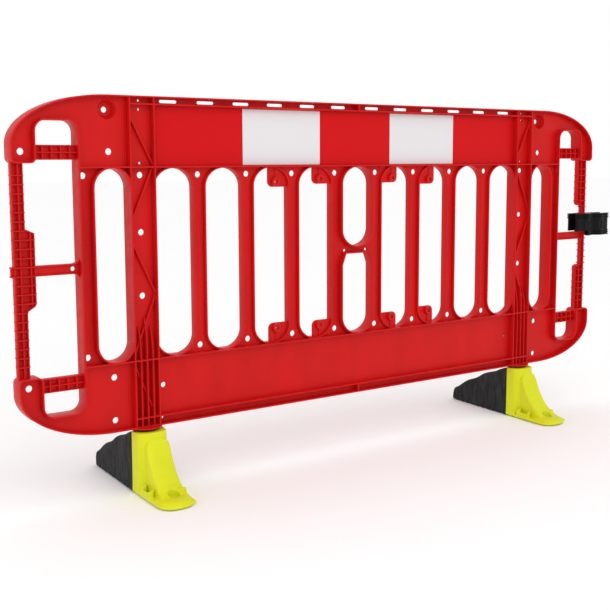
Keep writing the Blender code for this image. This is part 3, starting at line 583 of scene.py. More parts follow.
# ---------------------------------------------------------------- the frame's places
@dataclass(frozen=True)
class Places:
    """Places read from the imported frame, in its own coordinates."""

    origin: Vector          # panel's middle, on the ground
    column_x: float         # columns and feet, from the panel's middle
    post_x: float           # right post's axis, from the panel's middle
    top: float
    bottom: float
    half: float

    @classmethod
    def read(cls, frame: dict) -> "Places":
        """Places from the joints and the panel's box."""
        spots = {joint["name"]: Vector(joint["pos_m"]) for joint in frame["joints"]}
        left, right = spots["foot_left_swivel"], spots["foot_right_swivel"]
        origin = Vector(((left.x + right.x) / 2, left.y, 0))
        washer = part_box("foot_bush_left")[1].z
        low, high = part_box("panel")
        return cls(origin, (right.x - left.x) / 2, spots["clip_swivel"].x - origin.x, high.z,
                   washer + 2.3 * MM, (high.x + low.x) / 2 - origin.x + (high.x - low.x) / 2)

    def settle(self, item: bpy.types.Object, shift: Sequence[float] = (0, 0, 0)) -> bpy.types.Object:
        """Move a piece's mesh from the panel's own measures into the frame."""
        item.data.transform(Matrix.Translation(self.origin + Vector(shift)))
        return item


# ---------------------------------------------------------------- panel
@dataclass
class PanelMoulding:
    """The one-piece panel: web, rim, boards, pickets, columns, end posts, bars and lugs."""

    places: Places
    half: float = 1000 * MM
    web: float = 5 * MM
    rim: float = 4 * MM
    depth: float = 46 * MM
    corner_x: float = 240 * MM
    corner_z: float = 120 * MM
    slot_reach: float = 238.8 * MM
    slot_width: float = 109.7 * MM
    slot_end: float = 48 * MM
    slot_rim: float = 4.5 * MM
    slots_per_side: int = 4
    bridge_top: float = 12.8 * MM
    bridge_bottom: float = -8.2 * MM
    column_half: float = 34.5 * MM
    disc: float = 43 * MM
    upright_out: float = 838 * MM
    upright_width: float = 38 * MM
    ear_in: float = 941 * MM
    ear_reach: float = 252 * MM
    ear_corner: float = 13 * MM
    window_reach: float = 352 * MM
    window_corner: float = 26 * MM
    handle_centre: float = 277.5 * MM
    handle_height: float = 35 * MM
    flange: float = 3.5 * MM
    bar_depth: float = 8 * MM
    fin_depth: float = 15 * MM
    fin: float = 3 * MM
    fin_pitch: float = 21.4 * MM
    left_post: Point = (-997 * MM, -968 * MM)
    left_bulge: float = -946 * MM
    right_post: Point = (972.7 * MM, 988.7 * MM)
    right_wide: float = 947.5 * MM
    soft: float = 0.9 * MM           # radius of the moulding's edges
    handle_hole: float = 279.5 * MM  # rows of holes, up and down from the middle
    slot_hole: float = 222 * MM
    flange_slot: float = 21 * MM     # half the straight part of a slot in the top flange
    flange_slots: int = 6            # of them on each side
    boss: float = 12.5 * MM          # radius of a sign lug's boss

    def __post_init__(self) -> None:
        """Work out the measures that follow from others."""
        self.middle = (self.places.top + self.places.bottom) / 2
        self.deep = self.depth / 2
        self.column_in = self.places.column_x - self.column_half
        self.column_out = self.places.column_x + self.column_half
        self.upright_in = self.upright_out - self.upright_width
        self.pitch = (self.column_in - self.slot_width / 2) / self.slots_per_side
        self.rib = self.slot_reach + 1 * MM + self.rim / 2

    def outline(self) -> Outline:
        """Outer edge of web and rim, with the big cut-outs at both ends."""
        corner = self.places.top - self.corner_z
        ear, window = self.middle + self.ear_reach, self.middle + self.window_reach
        r, w = self.ear_corner, self.window_corner
        quarter = arc(self.half - self.corner_x, corner, self.corner_x, self.corner_z, 90, 0, 28)
        quarter += arc(self.half - r, ear + r, r, r, 0, -90, 6)
        quarter += arc(self.ear_in + r, ear + r, r, r, 270, 180, 6)
        quarter += arc(self.ear_in - w, window - w, w, w, 0, 90, 10)
        quarter += arc(self.upright_out + w, window - w, w, w, 90, 180, 10)
        right = quarter + [(u, 2 * self.middle - v) for u, v in reversed(quarter)]
        return right + mirrored(right)

    def openings(self) -> list[tuple[Outline, float]]:
        """Slots with the half depth of the rim round each."""
        low, high = self.middle - self.slot_reach, self.middle + self.slot_reach
        half = self.slot_width / 2
        made = []
        for i in range(-self.slots_per_side, self.slots_per_side + 1):
            if i:
                made.append((slot_outline(i * self.pitch, low, high, half, self.slot_end, 20), 12.5 * MM))
        outer = (self.upright_in - self.column_out) / 2
        side = slot_outline((self.upright_in + self.column_out) / 2, low, high, outer, outer, 20)
        made += [(side, self.deep), (mirrored(side), self.deep)]
        bridge_low = self.middle + self.bridge_bottom
        made.append((slot_outline(0, self.middle + self.bridge_top, high, half, self.slot_end, 20), 19 * MM))
        lower = arc(0, low + self.slot_end, half, self.slot_end, 180, 360, 20)
        lower += [(half, bridge_low - 32 * MM), (half - 12 * MM, bridge_low)]
        lower += [(12 * MM - half, bridge_low), (-half, bridge_low - 32 * MM)]
        made.append((lower, 19 * MM))
        return made

    def holes(self) -> list[Outline]:
        """Round and slotted holes through the web."""
        top, bottom, middle = self.places.top, self.places.bottom, self.middle
        plate = (self.upright_in + self.column_out) / 2
        spots = []
        for side in (-1, 1):
            for up in (-1, 1):
                spots.append((side * (self.half - 29.5 * MM), middle + up * self.handle_hole, 8.2))
                spots.append((side * plate, middle + up * self.handle_hole, 8.2))
                spots.append((side * (self.upright_in + 21 * MM), middle + up * self.slot_hole, 8))
                for i in range(self.slots_per_side):
                    spots.append((side * (i + 0.5) * self.pitch, middle + up * self.slot_hole, 8))
            spots.append((side * plate, bottom + 26.4 * MM, 8))
            spots.append((side * (self.column_in - 18 * MM), bottom + 100 * MM, 7))
            spots.append((side * (self.column_in - 14 * MM), bottom + 15 * MM, 3))
            spots.append((side * 37.8 * MM, middle, 4.5))
            for up, r in ((222, 8), (80, 8), (-80, 8), (251.5, 3)):
                spots.append((side * self.places.column_x, middle + up * MM, r))
            for down in (11, 32.6):
                spots.append((side * self.places.column_x, top - down * MM, 3))
        made = [circle(u, v, r * MM) for u, v, r in spots]
        first, margin, r, v = 60 * MM, 47 * MM, 4 * MM, top - 11.4 * MM
        for i in range(self.flange_slots):
            u = first + i * (self.column_in - margin - first) / (self.flange_slots - 1)
            for side in (-1, 1):
                made.append(arc(side * u + self.flange_slot, v, r, r, -90, 90, 8)
                            + arc(side * u - self.flange_slot, v, r, r, 90, 270, 8))
        return made

    def cup_places(self) -> list[Point]:
        """Centres of the two cups in the upper corners."""
        return [(side * (self.half - 244.5 * MM), self.places.top - 34.6 * MM) for side in (-1, 1)]

    def add_boards(self, shells: Shells) -> None:
        """Full-depth ribs along the boards, and the stiffeners in the channels."""
        top, bottom, half = self.places.top, self.places.bottom, self.rim / 2
        reach, channel = self.upright_out - half, self.column_out - half
        rows = ((reach, self.middle + self.rib), (reach, self.middle - self.rib),
                (channel, top - 20 * MM), (channel, bottom + 25 * MM))
        for far, height in rows:
            shells.plate(box(-far, far, height - half, height + half), self.deep - 0.3 * MM, edge=self.soft)
        shells.plate(box(-half, half, top - 20 * MM, top - half), self.deep - 1.2 * MM, edge=self.soft)
        shells.plate(box(-half, half, bottom + half, bottom + 25 * MM), self.deep - 1.2 * MM, edge=self.soft)

    def add_column(self, shells: Shells, side: int) -> None:
        """Column over a foot: edge ribs, zigzag bracing, curved base fins, disc and spigot."""
        x = side * self.places.column_x
        top, foot = self.places.top, self.places.bottom
        edge = self.column_half - self.rim / 2
        for way in (-1, 1):
            centre = x + way * edge
            shells.plate(box(centre - self.rim / 2, centre + self.rim / 2, foot - 1 * MM, top - self.rim / 2),
                         self.deep - 0.6 * MM, edge=self.soft)
        zigzags = (((1, 374.8), (-1, 246.5), (1, 99.8)), ((1, 64.8), (-1, -75.2), (1, -236)),
                   ((1, -247), (-1, -405)))
        for zigzag in zigzags:
            for (way_a, up_a), (way_b, up_b) in zip(zigzag, zigzag[1:]):
                brace = strip((x + side * way_a * edge, self.middle + up_a * MM),
                              (x + side * way_b * edge, self.middle + up_b * MM), 5 * MM)
                shells.plate(brace, 12 * MM, edge=1.2 * MM)
        pitch = 2 * edge / 4
        for i, peak in ((1, 430), (2, 455), (3, 430)):
            centre = x - edge + i * pitch
            reach = self.deep - 0.9 * MM
            sweep = arc(0, (peak - 95) * MM, reach, 95 * MM, 0, 180, 20)
            profile = sweep + [(-reach, foot - 1 * MM), (reach, foot - 1 * MM)]
            shells.prism(profile, centre - 1.7 * MM, centre + 1.7 * MM, Plane.SIDE, edge=self.soft)
        ridge = side * (self.column_out + 8.5 * MM)
        spans = ((self.middle + self.rib, top - self.rim / 2), (foot + self.rim / 2, self.middle - self.rib))
        for low, high in spans:
            outline = box(ridge - 2.5 * MM, ridge + 2.5 * MM, low, high)
            shells.plate(outline, self.web / 2 + 2 * MM, edge=1.5 * MM)
        rim = self.disc
        disc = [(0, foot + 2 * MM), (0, 61 * MM), (17 * MM, 61 * MM), (19 * MM, 64 * MM),
                (19 * MM, foot - 2 * MM), (rim - 1 * MM, foot - 2 * MM), (rim, foot - 1 * MM),
                (rim, foot + 1 * MM), (rim - 1 * MM, foot + 2 * MM)]
        shells.lathe(disc, (x, 0, 0), sides=56)

    def add_cups(self, shells: Shells) -> None:
        """Round cups let in from the front, each with a hole in its floor."""
        wall, r, floor, lip = 2.5 * MM, 24 * MM, 17 * MM, -self.web / 2 - 0.6 * MM
        profile = [(7 * MM, floor - wall), (r - 7.5 * MM, floor - wall),
                   (r - 5.5 * MM, floor - wall - 2 * MM), (r - 0.5 * MM, lip + 0.5 * MM),
                   (r + 0.4 * MM, lip), (r + wall, lip + 0.6 * MM),
                   (r - 6 * MM + wall, floor - 1 * MM), (r - 7 * MM + wall, floor), (7 * MM, floor)]
        for u, v in self.cup_places():
            shells.lathe(profile, (u, 0, v), along_y=True, sides=56)

    def add_lugs(self, shells: Shells) -> None:
        """Drilled corner plates in four slots, where a sign board is fixed."""
        face, front, back, corner = -14 * MM, -4 * MM, 0.0, 15 * MM
        for number, reach in ((1, 206 * MM), (2, 199.9 * MM)):
            picket = number * self.pitch - self.slot_width / 2
            drill, free = picket + 39.6 * MM, picket + 62 * MM
            rib, low = self.rib + self.rim / 2 - 0.8 * MM, reach - 14 * MM
            plate = [(picket - self.slot_rim + 1 * MM, rib), (picket - self.slot_rim + 1 * MM, low)]
            plate += arc(free - corner, low + corner, corner, corner, -90, 0, 8)
            plate.append((free, rib))
            hole, inner = circle(drill, reach, 5 * MM), circle(drill, reach, 6 * MM)
            boss = circle(drill, reach, self.boss, 36)
            strut = box(drill - 1.5 * MM, drill + 1.5 * MM, reach + 8 * MM, rib)
            for side in (-1, 1):
                for up in (-1, 1):
                    def placed(line: Outline, side: int = side, up: int = up) -> Outline:
                        """The line in this corner of the panel."""
                        return [(side * u, self.middle + up * v) for u, v in line]
                    shells.prism(placed(plate), front, back, holes=[placed(inner)], edge=0.8 * MM)
                    shells.prism(placed(boss), face, back + 2 * MM, holes=[placed(hole)], edge=1.6 * MM)
                    shells.prism(placed(strut), front - 2.5 * MM, back + 1 * MM, edge=0.7 * MM)

    def add_handle_bars(self, shells: Shells, side: int) -> None:
        """Webs, flanges and long ribs of the two grips at one end."""
        ends = sorted((side * (self.upright_out - 2 * MM), side * (self.ear_in + 2 * MM)))
        for up in (-1, 1):
            centre = self.middle + up * self.handle_centre
            low, high = centre - self.handle_height / 2, centre + self.handle_height / 2
            shells.plate(box(*ends, low + 1 * MM, high - 1 * MM), 2 * MM)
            shells.plate(box(*ends, low, low + self.flange), self.bar_depth, edge=self.soft)
            shells.plate(box(*ends, high - self.flange, high), self.bar_depth, edge=self.soft)
            shells.plate(box(*ends, centre - self.fin / 2, centre + self.fin / 2), 13.5 * MM, edge=self.soft)

    def add_cross_bar(self, shells: Shells, side: int, tab: float) -> None:
        """Bar at mid height, flared where it leaves the upright."""
        half, root = 12.5 * MM, 16 * MM
        sweep = arc(self.upright_out + root, half + root, root, root, 180, 270, 10)
        upper = [(self.upright_out - 2 * MM, half + root), *sweep, (tab, half)]
        lower = [(u, -v) for u, v in reversed(upper)]
        web = [(side * u, self.middle + v) for u, v in upper + lower]
        shells.plate(web, 2 * MM, [circle(side * (self.upright_out + 15 * MM), self.middle, 5.5 * MM)])
        for flip in (-1, 1):
            flange = [(side * u, self.middle + flip * v) for u, v in self.follow(upper)]
            shells.plate(flange, self.bar_depth + 0.3 * MM, edge=self.soft)

    def follow(self, edge: Outline) -> Outline:
        """Flange one wall thick below an edge."""
        below = []
        for i, (u, v) in enumerate(edge):
            along = (Vector(edge[min(len(edge) - 1, i + 1)]) - Vector(edge[max(0, i - 1)])).normalized()
            below.append((u + along.y * self.flange, v - along.x * self.flange))
        return list(edge) + below[::-1]

    def add_post(self, shells: Shells, outline: Outline, ribs: Sequence[tuple[float, float, float]]) -> None:
        """Thin web, edge flanges and upright ribs of an end post."""
        shells.plate(offset(outline, 1 * MM), 2 * MM)
        shells.plate(outline, self.bar_depth, [offset(outline, self.flange)], edge=self.soft)
        for u, low, high in ribs:
            shells.plate(box(u - self.fin / 2, u + self.fin / 2, low, high), 12.5 * MM, edge=self.soft)

    def add_posts(self, shells: Shells) -> None:
        """Both end posts: the left widens over its middle, the right is slim there."""
        end, middle = self.ear_reach + 4 * MM, self.middle
        far, near = self.left_post
        bulge, reach = self.left_bulge, 90 * MM
        edge = [(far, -end), (near, -end), (near, -reach - 5 * MM)]
        edge += arc(near, -reach + 15 * MM, bulge - near, 15 * MM, -60, 0, 6)
        edge += [(bulge, reach), (near, reach + 10 * MM), (near, end), (far, end)]
        ribs = [((far + near) / 2, middle - end, middle + end),
                (bulge - 12 * MM, middle - reach + 8 * MM, middle + reach + 2 * MM)]
        self.add_post(shells, [(u, middle + v) for u, v in edge], ribs)
        near, far = self.right_post
        wide, reach, rise = self.right_wide, 100 * MM, 10 * MM
        upper = [(wide, end), *arc(near, reach + rise, wide - near, rise, 0, -70, 8), (near, reach)]
        edge = upper + [(u, -v) for u, v in reversed(upper)] + [(far, -end), (far, end)]
        ribs = [((far + near) / 2, middle - end, middle + end)]
        ribs += [(wide + 12 * MM, middle + low, middle + high)
                 for low, high in ((reach + rise, end), (-end, -reach - rise))]
        self.add_post(shells, [(u, middle + v) for u, v in edge], ribs)

    def build(self, finish: bpy.types.Material) -> bpy.types.Object:
        """The moulding, without its grip fins."""
        outline, openings = self.outline(), self.openings()
        first = Shells()
        holes = [offset(opening, -self.slot_rim / 2) for opening, _ in openings] + self.holes()
        holes += [circle(u, v, 25.5 * MM, 56) for u, v in self.cup_places()]
        first.prism(offset(outline, self.rim / 2), -self.web / 2, self.web / 2, holes=holes,
                    edge=0.5 * MM, steps=1)
        rest = Shells()
        rest.plate(outline, self.deep, [offset(outline, self.rim)], edge=self.soft)
        for opening, half_depth in openings:
            rest.plate(offset(opening, -self.slot_rim), half_depth - 0.1 * MM, [opening], edge=self.soft)
        self.add_boards(rest)
        self.add_cups(rest)
        self.add_lugs(rest)
        for side in (-1, 1):
            self.add_column(rest, side)
            self.add_handle_bars(rest, side)
        self.add_posts(rest)
        self.add_cross_bar(rest, -1, self.half + 4 * MM)
        self.add_cross_bar(rest, 1, self.right_post[1] - 1 * MM)
        panel = fused("panel_moulding", first, rest)
        dress(self.places.settle(panel), finish)
        return panel


@dataclass
class GripFins:
    """Rounded grip fins on posts and handle bars, set in rows."""

    panel: PanelMoulding
    rows: RowTree
    proud: float = 1.2 * MM          # past the sides of the post
    fullness: float = 3.6            # power of the fin's outline: 2 is an ellipse, more is squarer
    per_handle: int = 4

    def blank(self, half: float, plane: Plane) -> bpy.types.Object:
        """One fin about the origin, a plate with full rounded corners to the front and back."""
        panel = self.panel
        plate = superellipse(half, panel.fin_depth, self.fullness, 0, 351, 39)
        outline = plate if plane is Plane.PLAN else [(v, u) for u, v in plate]
        shells = Shells()
        shells.prism(outline, -panel.fin / 2, panel.fin / 2, plane, edge=0.8 * MM)
        return new_object("fin_blank", shells.mesh("fin_blank"))

    def run(self, name: str, left: float, right: float, low: int, high: int,
            finish: bpy.types.Material) -> bpy.types.Object:
        """Fins of one width on a post, for the numbered heights from low up to high."""
        panel = self.panel
        fin = self.blank((right - left) / 2 + self.proud, Plane.PLAN)
        start = Vector(((left + right) / 2, 0, panel.middle + (low + 0.5) * panel.fin_pitch))
        row = self.rows.row(name, fin, start, Vector((0, 0, panel.fin_pitch)), high - low, finish)
        bpy.data.objects.remove(fin)
        return row

    def handle_run(self, side: int, up: int, finish: bpy.types.Material) -> bpy.types.Object:
        """Fins of one handle bar."""
        panel = self.panel
        count = self.per_handle
        pitch = (panel.ear_in - panel.upright_out) / (count + 0.6)
        fin = self.blank(panel.handle_height / 2 + 0.2 * MM, Plane.SIDE)
        start = Vector((side * (panel.upright_out + 0.8 * pitch), 0,
                        panel.middle + up * panel.handle_centre))
        row = self.rows.row("handle_row", fin, start, Vector((side * pitch, 0, 0)), count, finish)
        bpy.data.objects.remove(fin)
        return row

    def build(self, finish: bpy.types.Material) -> list[bpy.types.Object]:
        """Fins of the left post, the right post and the handle bars."""
        panel = self.panel
        ends, bulge, slim = 11, 4, 5
        far, near = panel.left_post
        left = [self.run("row", far, near, bulge, ends, finish),
                self.run("row", far, near, -ends, -bulge, finish),
                self.run("row", far, panel.left_bulge, -bulge, bulge, finish)]
        near, far = panel.right_post
        right = [self.run("row", panel.right_wide, far, slim, ends, finish),
                 self.run("row", panel.right_wide, far, -ends, -slim, finish),
                 self.run("row", near, far, -slim, slim, finish)]
        grips = [self.handle_run(side, up, finish) for side in (-1, 1) for up in (-1, 1)]
        made = [joined("post_fins_left", left), joined("post_fins_right", right),
                joined("handle_fins", grips)]
        for item in made:
            dress(panel.places.settle(item), finish)
        return made


# ---------------------------------------------------------------- feet
@dataclass
class Foot:
    """One anti-trip foot about its own pivot, the toe to -Y and the heel to +Y."""

    places: Places
    rows: RowTree
    side: int
    toe_reach: float = 192 * MM
    half_back: float = 39 * MM
    half_front: float = 46 * MM
    collar_half: float = 42 * MM
    collar_front: float = 50 * MM
    fuller: float = 1.12             # the toe is this much wider on its right than on its left
    top: float = 162 * MM
    sole: float = 3 * MM
    heel_reach: float = 280 * MM
    heel_end: float = 22 * MM
    gap: float = 0.15 * MM           # from the parting plane to either part
    stud_row: float = 30 * MM        # of studs under the sole, from its middle
    stud_pitch: float = 25 * MM

    @property
    def name(self) -> str:
        """Side of the panel the foot is on."""
        return "left" if self.side < 0 else "right"

    def plan(self, inset: float) -> Outline:
        """Plan of the toe's base, widening forward to a rounded nose."""
        nose = superellipse(self.half_front - inset, self.half_front + 1 * MM - inset, 2.5, 180, 360, 40)
        back = self.half_back - inset
        base = [(back, -self.gap), (-back, -self.gap)]
        base += [(u, v - self.toe_reach + self.half_front) for u, v in nose]
        return [(max(u, u * (1 + (self.fuller - 1) * 0.7)), v) for u, v in base]

    def collar(self, grow: float) -> Outline:
        """Plan of the collar, a rounded square cut off at the parting plane."""
        front = superellipse(self.collar_half + grow, self.collar_front + grow, 3, 180, 360, 40)
        return [(max(u, u * self.fuller, -self.half_back - grow / 2), min(v, -self.gap)) for u, v in front]

    def tongue(self) -> list[list[Vector]]:
        """Sections down the sloping tongue, arched at its top and flat lower down."""
        slope = ((-20, 147, 24), (-50, 147, 24), (-54, 145, 23), (-58, 136, 18), (-65, 116, 12), (-75, 92, 9),
                 (-93, 64, 8), (-112, 44, 7), (-128, 31, 6), (-149, 20, 5), (-166, 16, 4), (-180, 12, 2))
        stations = []
        for y, z, r in slope:
            flare = max(0.0, -y - 110) * 0.1
            left, right, high, turn = -(26 + flare) * MM, (40 + flare) * MM, z * MM, r * MM
            over = arc(right - turn, high - turn, turn, turn, 0, 90, 8)
            over += arc(left + turn, high - turn, turn, turn, 90, 180, 8)
            stations.append([Vector((u, y * MM, v)) for u, v in over + [(left, 5 * MM), (right, 5 * MM)]])
        return stations

    def treads(self, low: float, high: float, taper: float,
               finish: bpy.types.Material) -> list[bpy.types.Object]:
        """Rows of studs under the sole, one on each side."""
        stud = Shells()
        root = self.sole + 1 * MM
        profile = [(0, root), (0, 0), (3.4 * MM, 0), (4 * MM, 0.6 * MM), (4.4 * MM, root)]
        stud.lathe(profile, (0, 0, 0), sides=20)
        blank = new_object("stud", stud.mesh("stud"))
        count = int((high - low) / self.stud_pitch) + 1
        pitch = (high - low) / (count - 1)
        made = []
        for way in (-1, 1):
            step = Vector((-way * taper * pitch, pitch, 0))
            start = Vector((way * self.stud_row, low, 0))
            made.append(self.rows.row("studs", blank, start, step, count, finish))
        bpy.data.objects.remove(blank)
        return made

    def bore(self) -> Outline:
        """Half profile of the space for spigot and screw."""
        return [(0, -5 * MM), (16 * MM, -5 * MM), (16 * MM, 30 * MM), (7 * MM, 30 * MM), (7 * MM, 56 * MM),
                (20.6 * MM, 56 * MM), (20.6 * MM, 156 * MM), (23 * MM, 160 * MM), (26 * MM, 163 * MM),
                (26 * MM, 170 * MM), (0, 170 * MM)]

    def build_toe(self, finish: bpy.types.Material) -> bpy.types.Object:
        """Yellow toe with collar, tongue, side tabs and dimple."""
        first = Shells()
        levels = ((2, 3), (0, 5), (0, 9), (0.8, 11), (2.5, 12.4), (5, 13))
        first.loft([[Vector((u, v, height * MM)) for u, v in self.plan(inset * MM)]
                    for inset, height in levels])
        rest = Shells()
        rings = ((3, 6), (1.2, 60), (0.5, 150), (0.5, 157), (-0.2, 160), (-1.6, 161.7), (-3, 162))
        rest.loft([[Vector((u, v, height * MM)) for u, v in self.collar(grow * MM)]
                   for grow, height in rings])
        rest.loft(self.tongue())
        tabs = ((-1, -63, -51, 44, 35), (-1, -103, -97, 44, 33), (1, -131, -127, 47, 37))
        for side, low, high, outer, top in tabs:
            tab = [(30, 9), (outer, 9), (outer - 1, top - 5), (30, top)]
            rest.prism([(side * u * MM, v * MM) for u, v in tab], low * MM, high * MM, edge=1 * MM)
        rest.prism(box(-41.5 * MM, -38.5 * MM, 9 * MM, 24 * MM), -100 * MM, -52 * MM, edge=1 * MM)
        gusset = [(-25 * MM, 62 * MM), (-8 * MM, 12 * MM), (-42 * MM, 12 * MM)]
        rest.prism(gusset, -40 * MM, -30 * MM, Plane.SIDE, edge=1 * MM)
        pad = ((1, 9), (3, 12.5), (7, 16), (13, 18.5), (21, 20), (31, 20.6))
        rest.loft([[Vector((u + 2 * MM, v - 0.76 * self.toe_reach, height * MM))
                    for u, v in superellipse(48 * MM - inset * MM, 46 * MM - inset * MM, 2.5, 0, 351, 39)]
                   for inset, height in pad])
        cut = Shells()
        cut.lathe(self.bore(), (0, 0, 0))
        dimple = [(0, 9 * MM), (8 * MM, 9.5 * MM), (12.5 * MM, 12 * MM), (14.5 * MM, 17 * MM),
                  (15.5 * MM, 60 * MM), (0, 60 * MM)]
        cut.lathe(dimple, (6 * MM, -139 * MM, 0))
        toe = softened(fused("toe", first, rest, cut), 1.3 * MM, 3)
        studs = self.treads(-150 * MM, -14 * MM, 0, finish)
        return self.finished(f"toe_{self.name}", toe, studs, finish)

    def crown(self, y: float) -> float:
        """Height of the heel's crown line: a steady slope, slightly full, in soft steps."""
        t = y / (270 * MM)
        fall = self.top - 118 * MM * t + 8 * MM * sin(pi * min(1.0, t))
        return fall + 2.2 * MM * sin(2 * pi * y / (92 * MM)) * min(1.0, 4 * t)

    def heel_section(self, y: float) -> list[Vector]:
        """Upright sides under a rounded crown."""
        half = self.half_back + (self.heel_end - self.half_back) * y / self.heel_reach
        high = self.crown(y)
        turn = min(0.35 * half, 0.4 * high)
        over = arc(half - turn, high - turn, turn, turn, 0, 90, 8)
        points = [(half, self.sole), *over]
        points += [(-u, v) for u, v in reversed(points)]
        return [Vector((u, y, v)) for u, v in points]

    def build_heel(self, finish: bpy.types.Material) -> bpy.types.Object:
        """Black rubber heel with an uneven pressed surface."""
        first = Shells()
        steps = 40
        stations = [self.heel_section(self.gap + 268 * MM * i / steps) for i in range(steps + 1)]
        for y, width, height in ((273, 0.96, 0.8), (277, 0.88, 0.5), (280, 0.78, 0.2)):
            stations.append([Vector((p.x * width, y * MM, self.sole + (p.z - self.sole) * height))
                             for p in stations[steps]])
        first.loft(stations)
        cut = Shells()
        cut.lathe(self.bore(), (0, 0, 0))
        heel = softened(fused("heel", first, None, cut), 2 * MM, 3)
        for vertex in heel.data.vertices:
            if vertex.co.y > 3 * MM and vertex.co.z > 6 * MM:
                lump = noise.noise(vertex.co * 90) * 0.5 + noise.noise(vertex.co * 330) * 0.25
                vertex.co += vertex.normal * lump * MM
        low = self.heel_reach - 22 * MM
        studs = self.treads(14 * MM, low, 0.055, finish)
        return self.finished(f"heel_{self.name}", heel, studs, finish)

    def finished(self, name: str, body: bpy.types.Object, extras: list[bpy.types.Object],
                 finish: bpy.types.Material) -> bpy.types.Object:
        """Body and extras as one named piece at its place."""
        item = joined(name, [body, *extras])
        dress(self.places.settle(item, (self.side * self.places.column_x, 0, 0)), finish, 50)
        return item


# ---------------------------------------------------------------- clip
@dataclass
class Clip:
    """Two open jaws back to back, about the right post's axis."""

    places: Places
    middle: float
    height: float = 75 * MM
    low: float = -1.5 * MM
    bore: float = 16.8 * MM
    wall: float = 13 * MM
    lip: float = 46 * MM
    mouth: float = 28 * MM
    pitch: float = 68 * MM
    bead_half: float = 1.7 * MM      # half the height of a grip bead
    bead_proud: float = 2.6 * MM

    def jaw(self, grow: float) -> Outline:
        """Outside of one jaw and its lips, mouth to -X."""
        r = self.bore + self.wall + grow
        lip, outer = self.lip + grow, self.mouth / 2 + 9 * MM + grow
        back = arc(0, 0, r, r, -125, 125, 40)
        cut = 4 * MM
        return back + [(-lip + cut, outer), (-lip, outer - cut), (-lip, -outer + cut), (-lip + cut, -outer)]

    def build(self, finish: bpy.types.Material) -> bpy.types.Object:
        """The clip with its grip beads, cut away where it turns over the cross-bar."""
        low, high = self.low, self.low + self.height
        half, over = self.pitch / 2, 20 * MM
        first = Shells()
        first.prism(box(21 * MM, self.pitch - 21 * MM, -17 * MM, 17 * MM), low, high, Plane.PLAN)
        rest, cut = Shells(), Shells()
        beads = [(low, high, 0.0)]
        for depth in (1.8 * MM, 8.5 * MM, 15 * MM):
            for centre in (high - depth, low + depth):
                beads.append((centre - self.bead_half, centre + self.bead_half, self.bead_proud))
        for flip in (1, -1):
            def turned(outline: Outline, flip: int = flip) -> Outline:
                """The outline on this jaw's side."""
                return [(half + flip * (u - half), v) for u, v in outline]
            for start, stop, grow in beads:
                rest.prism(turned(self.jaw(grow)), start, stop, Plane.PLAN, edge=1 * MM)
            wide = self.mouth / 2
            throat = [(-self.lip, wide), (-self.lip - over, wide + over), (-self.lip - over, -wide - over),
                      (-self.lip, -wide)]
            bore = arc(0, 0, self.bore, self.bore, -125, 125, 40)
            cut.prism(turned(bore + throat), low - over, high + over, Plane.PLAN)
            for edge_side in (-1, 1):
                window = turned(box(-8 * MM, 8 * MM, edge_side * 27 * MM, edge_side * 45 * MM))
                cut.prism(window, low + 22 * MM, high - 26 * MM, Plane.PLAN)
        cut.prism(box(-80 * MM, 0, -80 * MM, 80 * MM), low - over, 14.5 * MM, Plane.PLAN)
        clip = softened(fused("joining_clip", first, rest, cut), 0.9 * MM, 1)
        dress(self.places.settle(clip, (self.places.post_x, 0, self.middle)), finish, 50)
        return clip


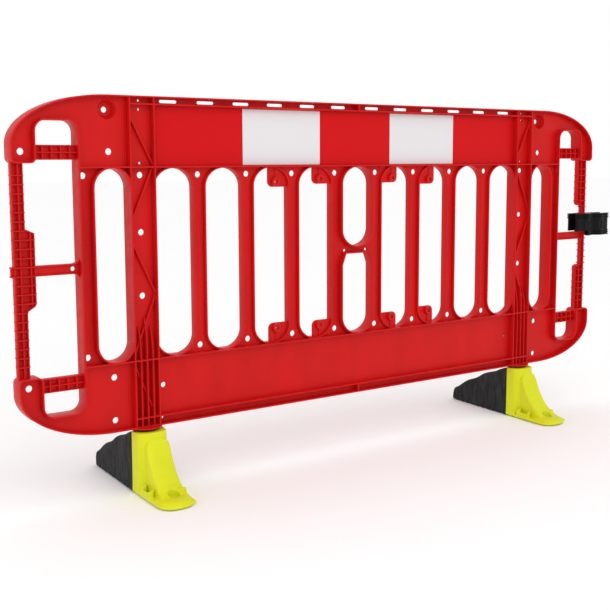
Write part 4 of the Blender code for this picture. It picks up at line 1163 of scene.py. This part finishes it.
# ---------------------------------------------------------------- studio
@dataclass
class Studio:
    """Pale floor, soft lights and the camera."""

    places: Places
    eye: tuple[float, float, float] = (-1.7982, -2.3598, 0.8544)
    azimuth: float = 36.141
    elevation: float = -7.161
    lens: float = 60.77
    shift: Point = (-0.0470, -0.0323)

    def floor(self) -> bpy.types.Object:
        """Wide pale floor."""
        mesh = bpy.data.meshes.new("floor")
        reach = 30.0
        mesh.from_pydata([(-reach, -reach, 0), (reach, -reach, 0), (reach, reach, 0), (-reach, reach, 0)], [],
                         [(0, 1, 2, 3)])
        floor = new_object("floor", mesh)
        material, shader, tree = new_material("pale_floor")
        colour = mixed(tree, object_noise(tree, 0.5, 2.0), "FDFDFD", "FBFBFB")
        tree.links.new(colour, shader.inputs["Base Color"])
        shader.inputs["Roughness"].default_value = 0.9
        shader.inputs["Specular IOR Level"].default_value = 0.1
        mesh.materials.append(material)
        return floor

    def light(self, name: str, place: Sequence[float], aim: Sequence[float], size: float,
              power: float) -> None:
        """Square area light that faces a point."""
        data = bpy.data.lights.new(name, "AREA")
        data.size = size
        data.energy = power
        item = bpy.data.objects.new(name, data)
        item.location = Vector(place)
        item.rotation_euler = (Vector(aim) - Vector(place)).to_track_quat("-Z", "Y").to_euler()
        bpy.context.scene.collection.objects.link(item)

    def build(self) -> bpy.types.Object:
        """Lights, world and camera; returns the floor."""
        scene = bpy.context.scene
        world = bpy.data.worlds.new("studio")
        world.use_nodes = True
        world.node_tree.nodes["Background"].inputs["Color"].default_value = (1, 1, 1, 1)
        world.node_tree.nodes["Background"].inputs["Strength"].default_value = 1.0
        scene.world = world
        self.light("key", (-0.9, -3.9, 3.1), (0, 0, 0.5), 1.8, 33)
        self.light("side", (-4.2, -0.6, 1.8), (0, 0, 0.5), 1.4, 6)
        data = bpy.data.cameras.new("camera")
        data.lens = self.lens
        data.sensor_width = 36
        data.shift_x, data.shift_y = self.shift
        data.clip_end = 100
        camera = bpy.data.objects.new("camera", data)
        camera.location = self.places.origin + Vector(self.eye)
        camera.rotation_euler = (radians(90 + self.elevation), 0, radians(-self.azimuth))
        scene.collection.objects.link(camera)
        scene.camera = camera
        scene.view_settings.view_transform = "Standard"
        return self.floor()


# ---------------------------------------------------------------- assembly
def keep(item: bpy.types.Object, body: str, slot: str, *nodes: str) -> None:
    """Attach a piece to its body and hide the nodes it stands for; the slot argument is not used."""
    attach(item, body)
    if nodes:
        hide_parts(*nodes)
    log.info("%s rides on %s, %d faces", item.name, body, len(item.data.polygons))


def main() -> None:
    """Build every piece around the frame."""
    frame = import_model()
    places = Places.read(frame)
    finishes = Finishes()
    Studio(places).build()
    rows = RowTree()

    panel = PanelMoulding(places)
    keep(panel.build(finishes.red), "barrier", "panel", "panel")
    for item in GripFins(panel, rows).build(finishes.red):
        keep(item, "barrier", "panel")
    for side in (-1, 1):
        foot = Foot(places, rows, side)
        keep(foot.build_toe(finishes.yellow), f"foot_{foot.name}", "toe", f"foot_toe_{foot.name}")
        keep(foot.build_heel(finishes.rubber), f"foot_{foot.name}", "heel", f"foot_heel_{foot.name}")
    keep(Clip(places, panel.middle).build(finishes.nylon), "clip", "black_nylon", "clip")

    slots = {"red_sheeting": finishes.red_sheet, "white_sheeting": finishes.white_sheet,
             "black_nylon": finishes.nylon, "steel": finishes.zinc}
    for entry in frame["record"]["subparts"]:
        finish = slots.get(entry["material_slot"])
        node = frame["nodes"][entry["node"]]
        if finish and not node.hide_render:
            node.data.materials.clear()
            node.data.materials.append(finish)
            log.info("%s keeps its solid", entry["node"])


if __name__ == "__main__":
    main()
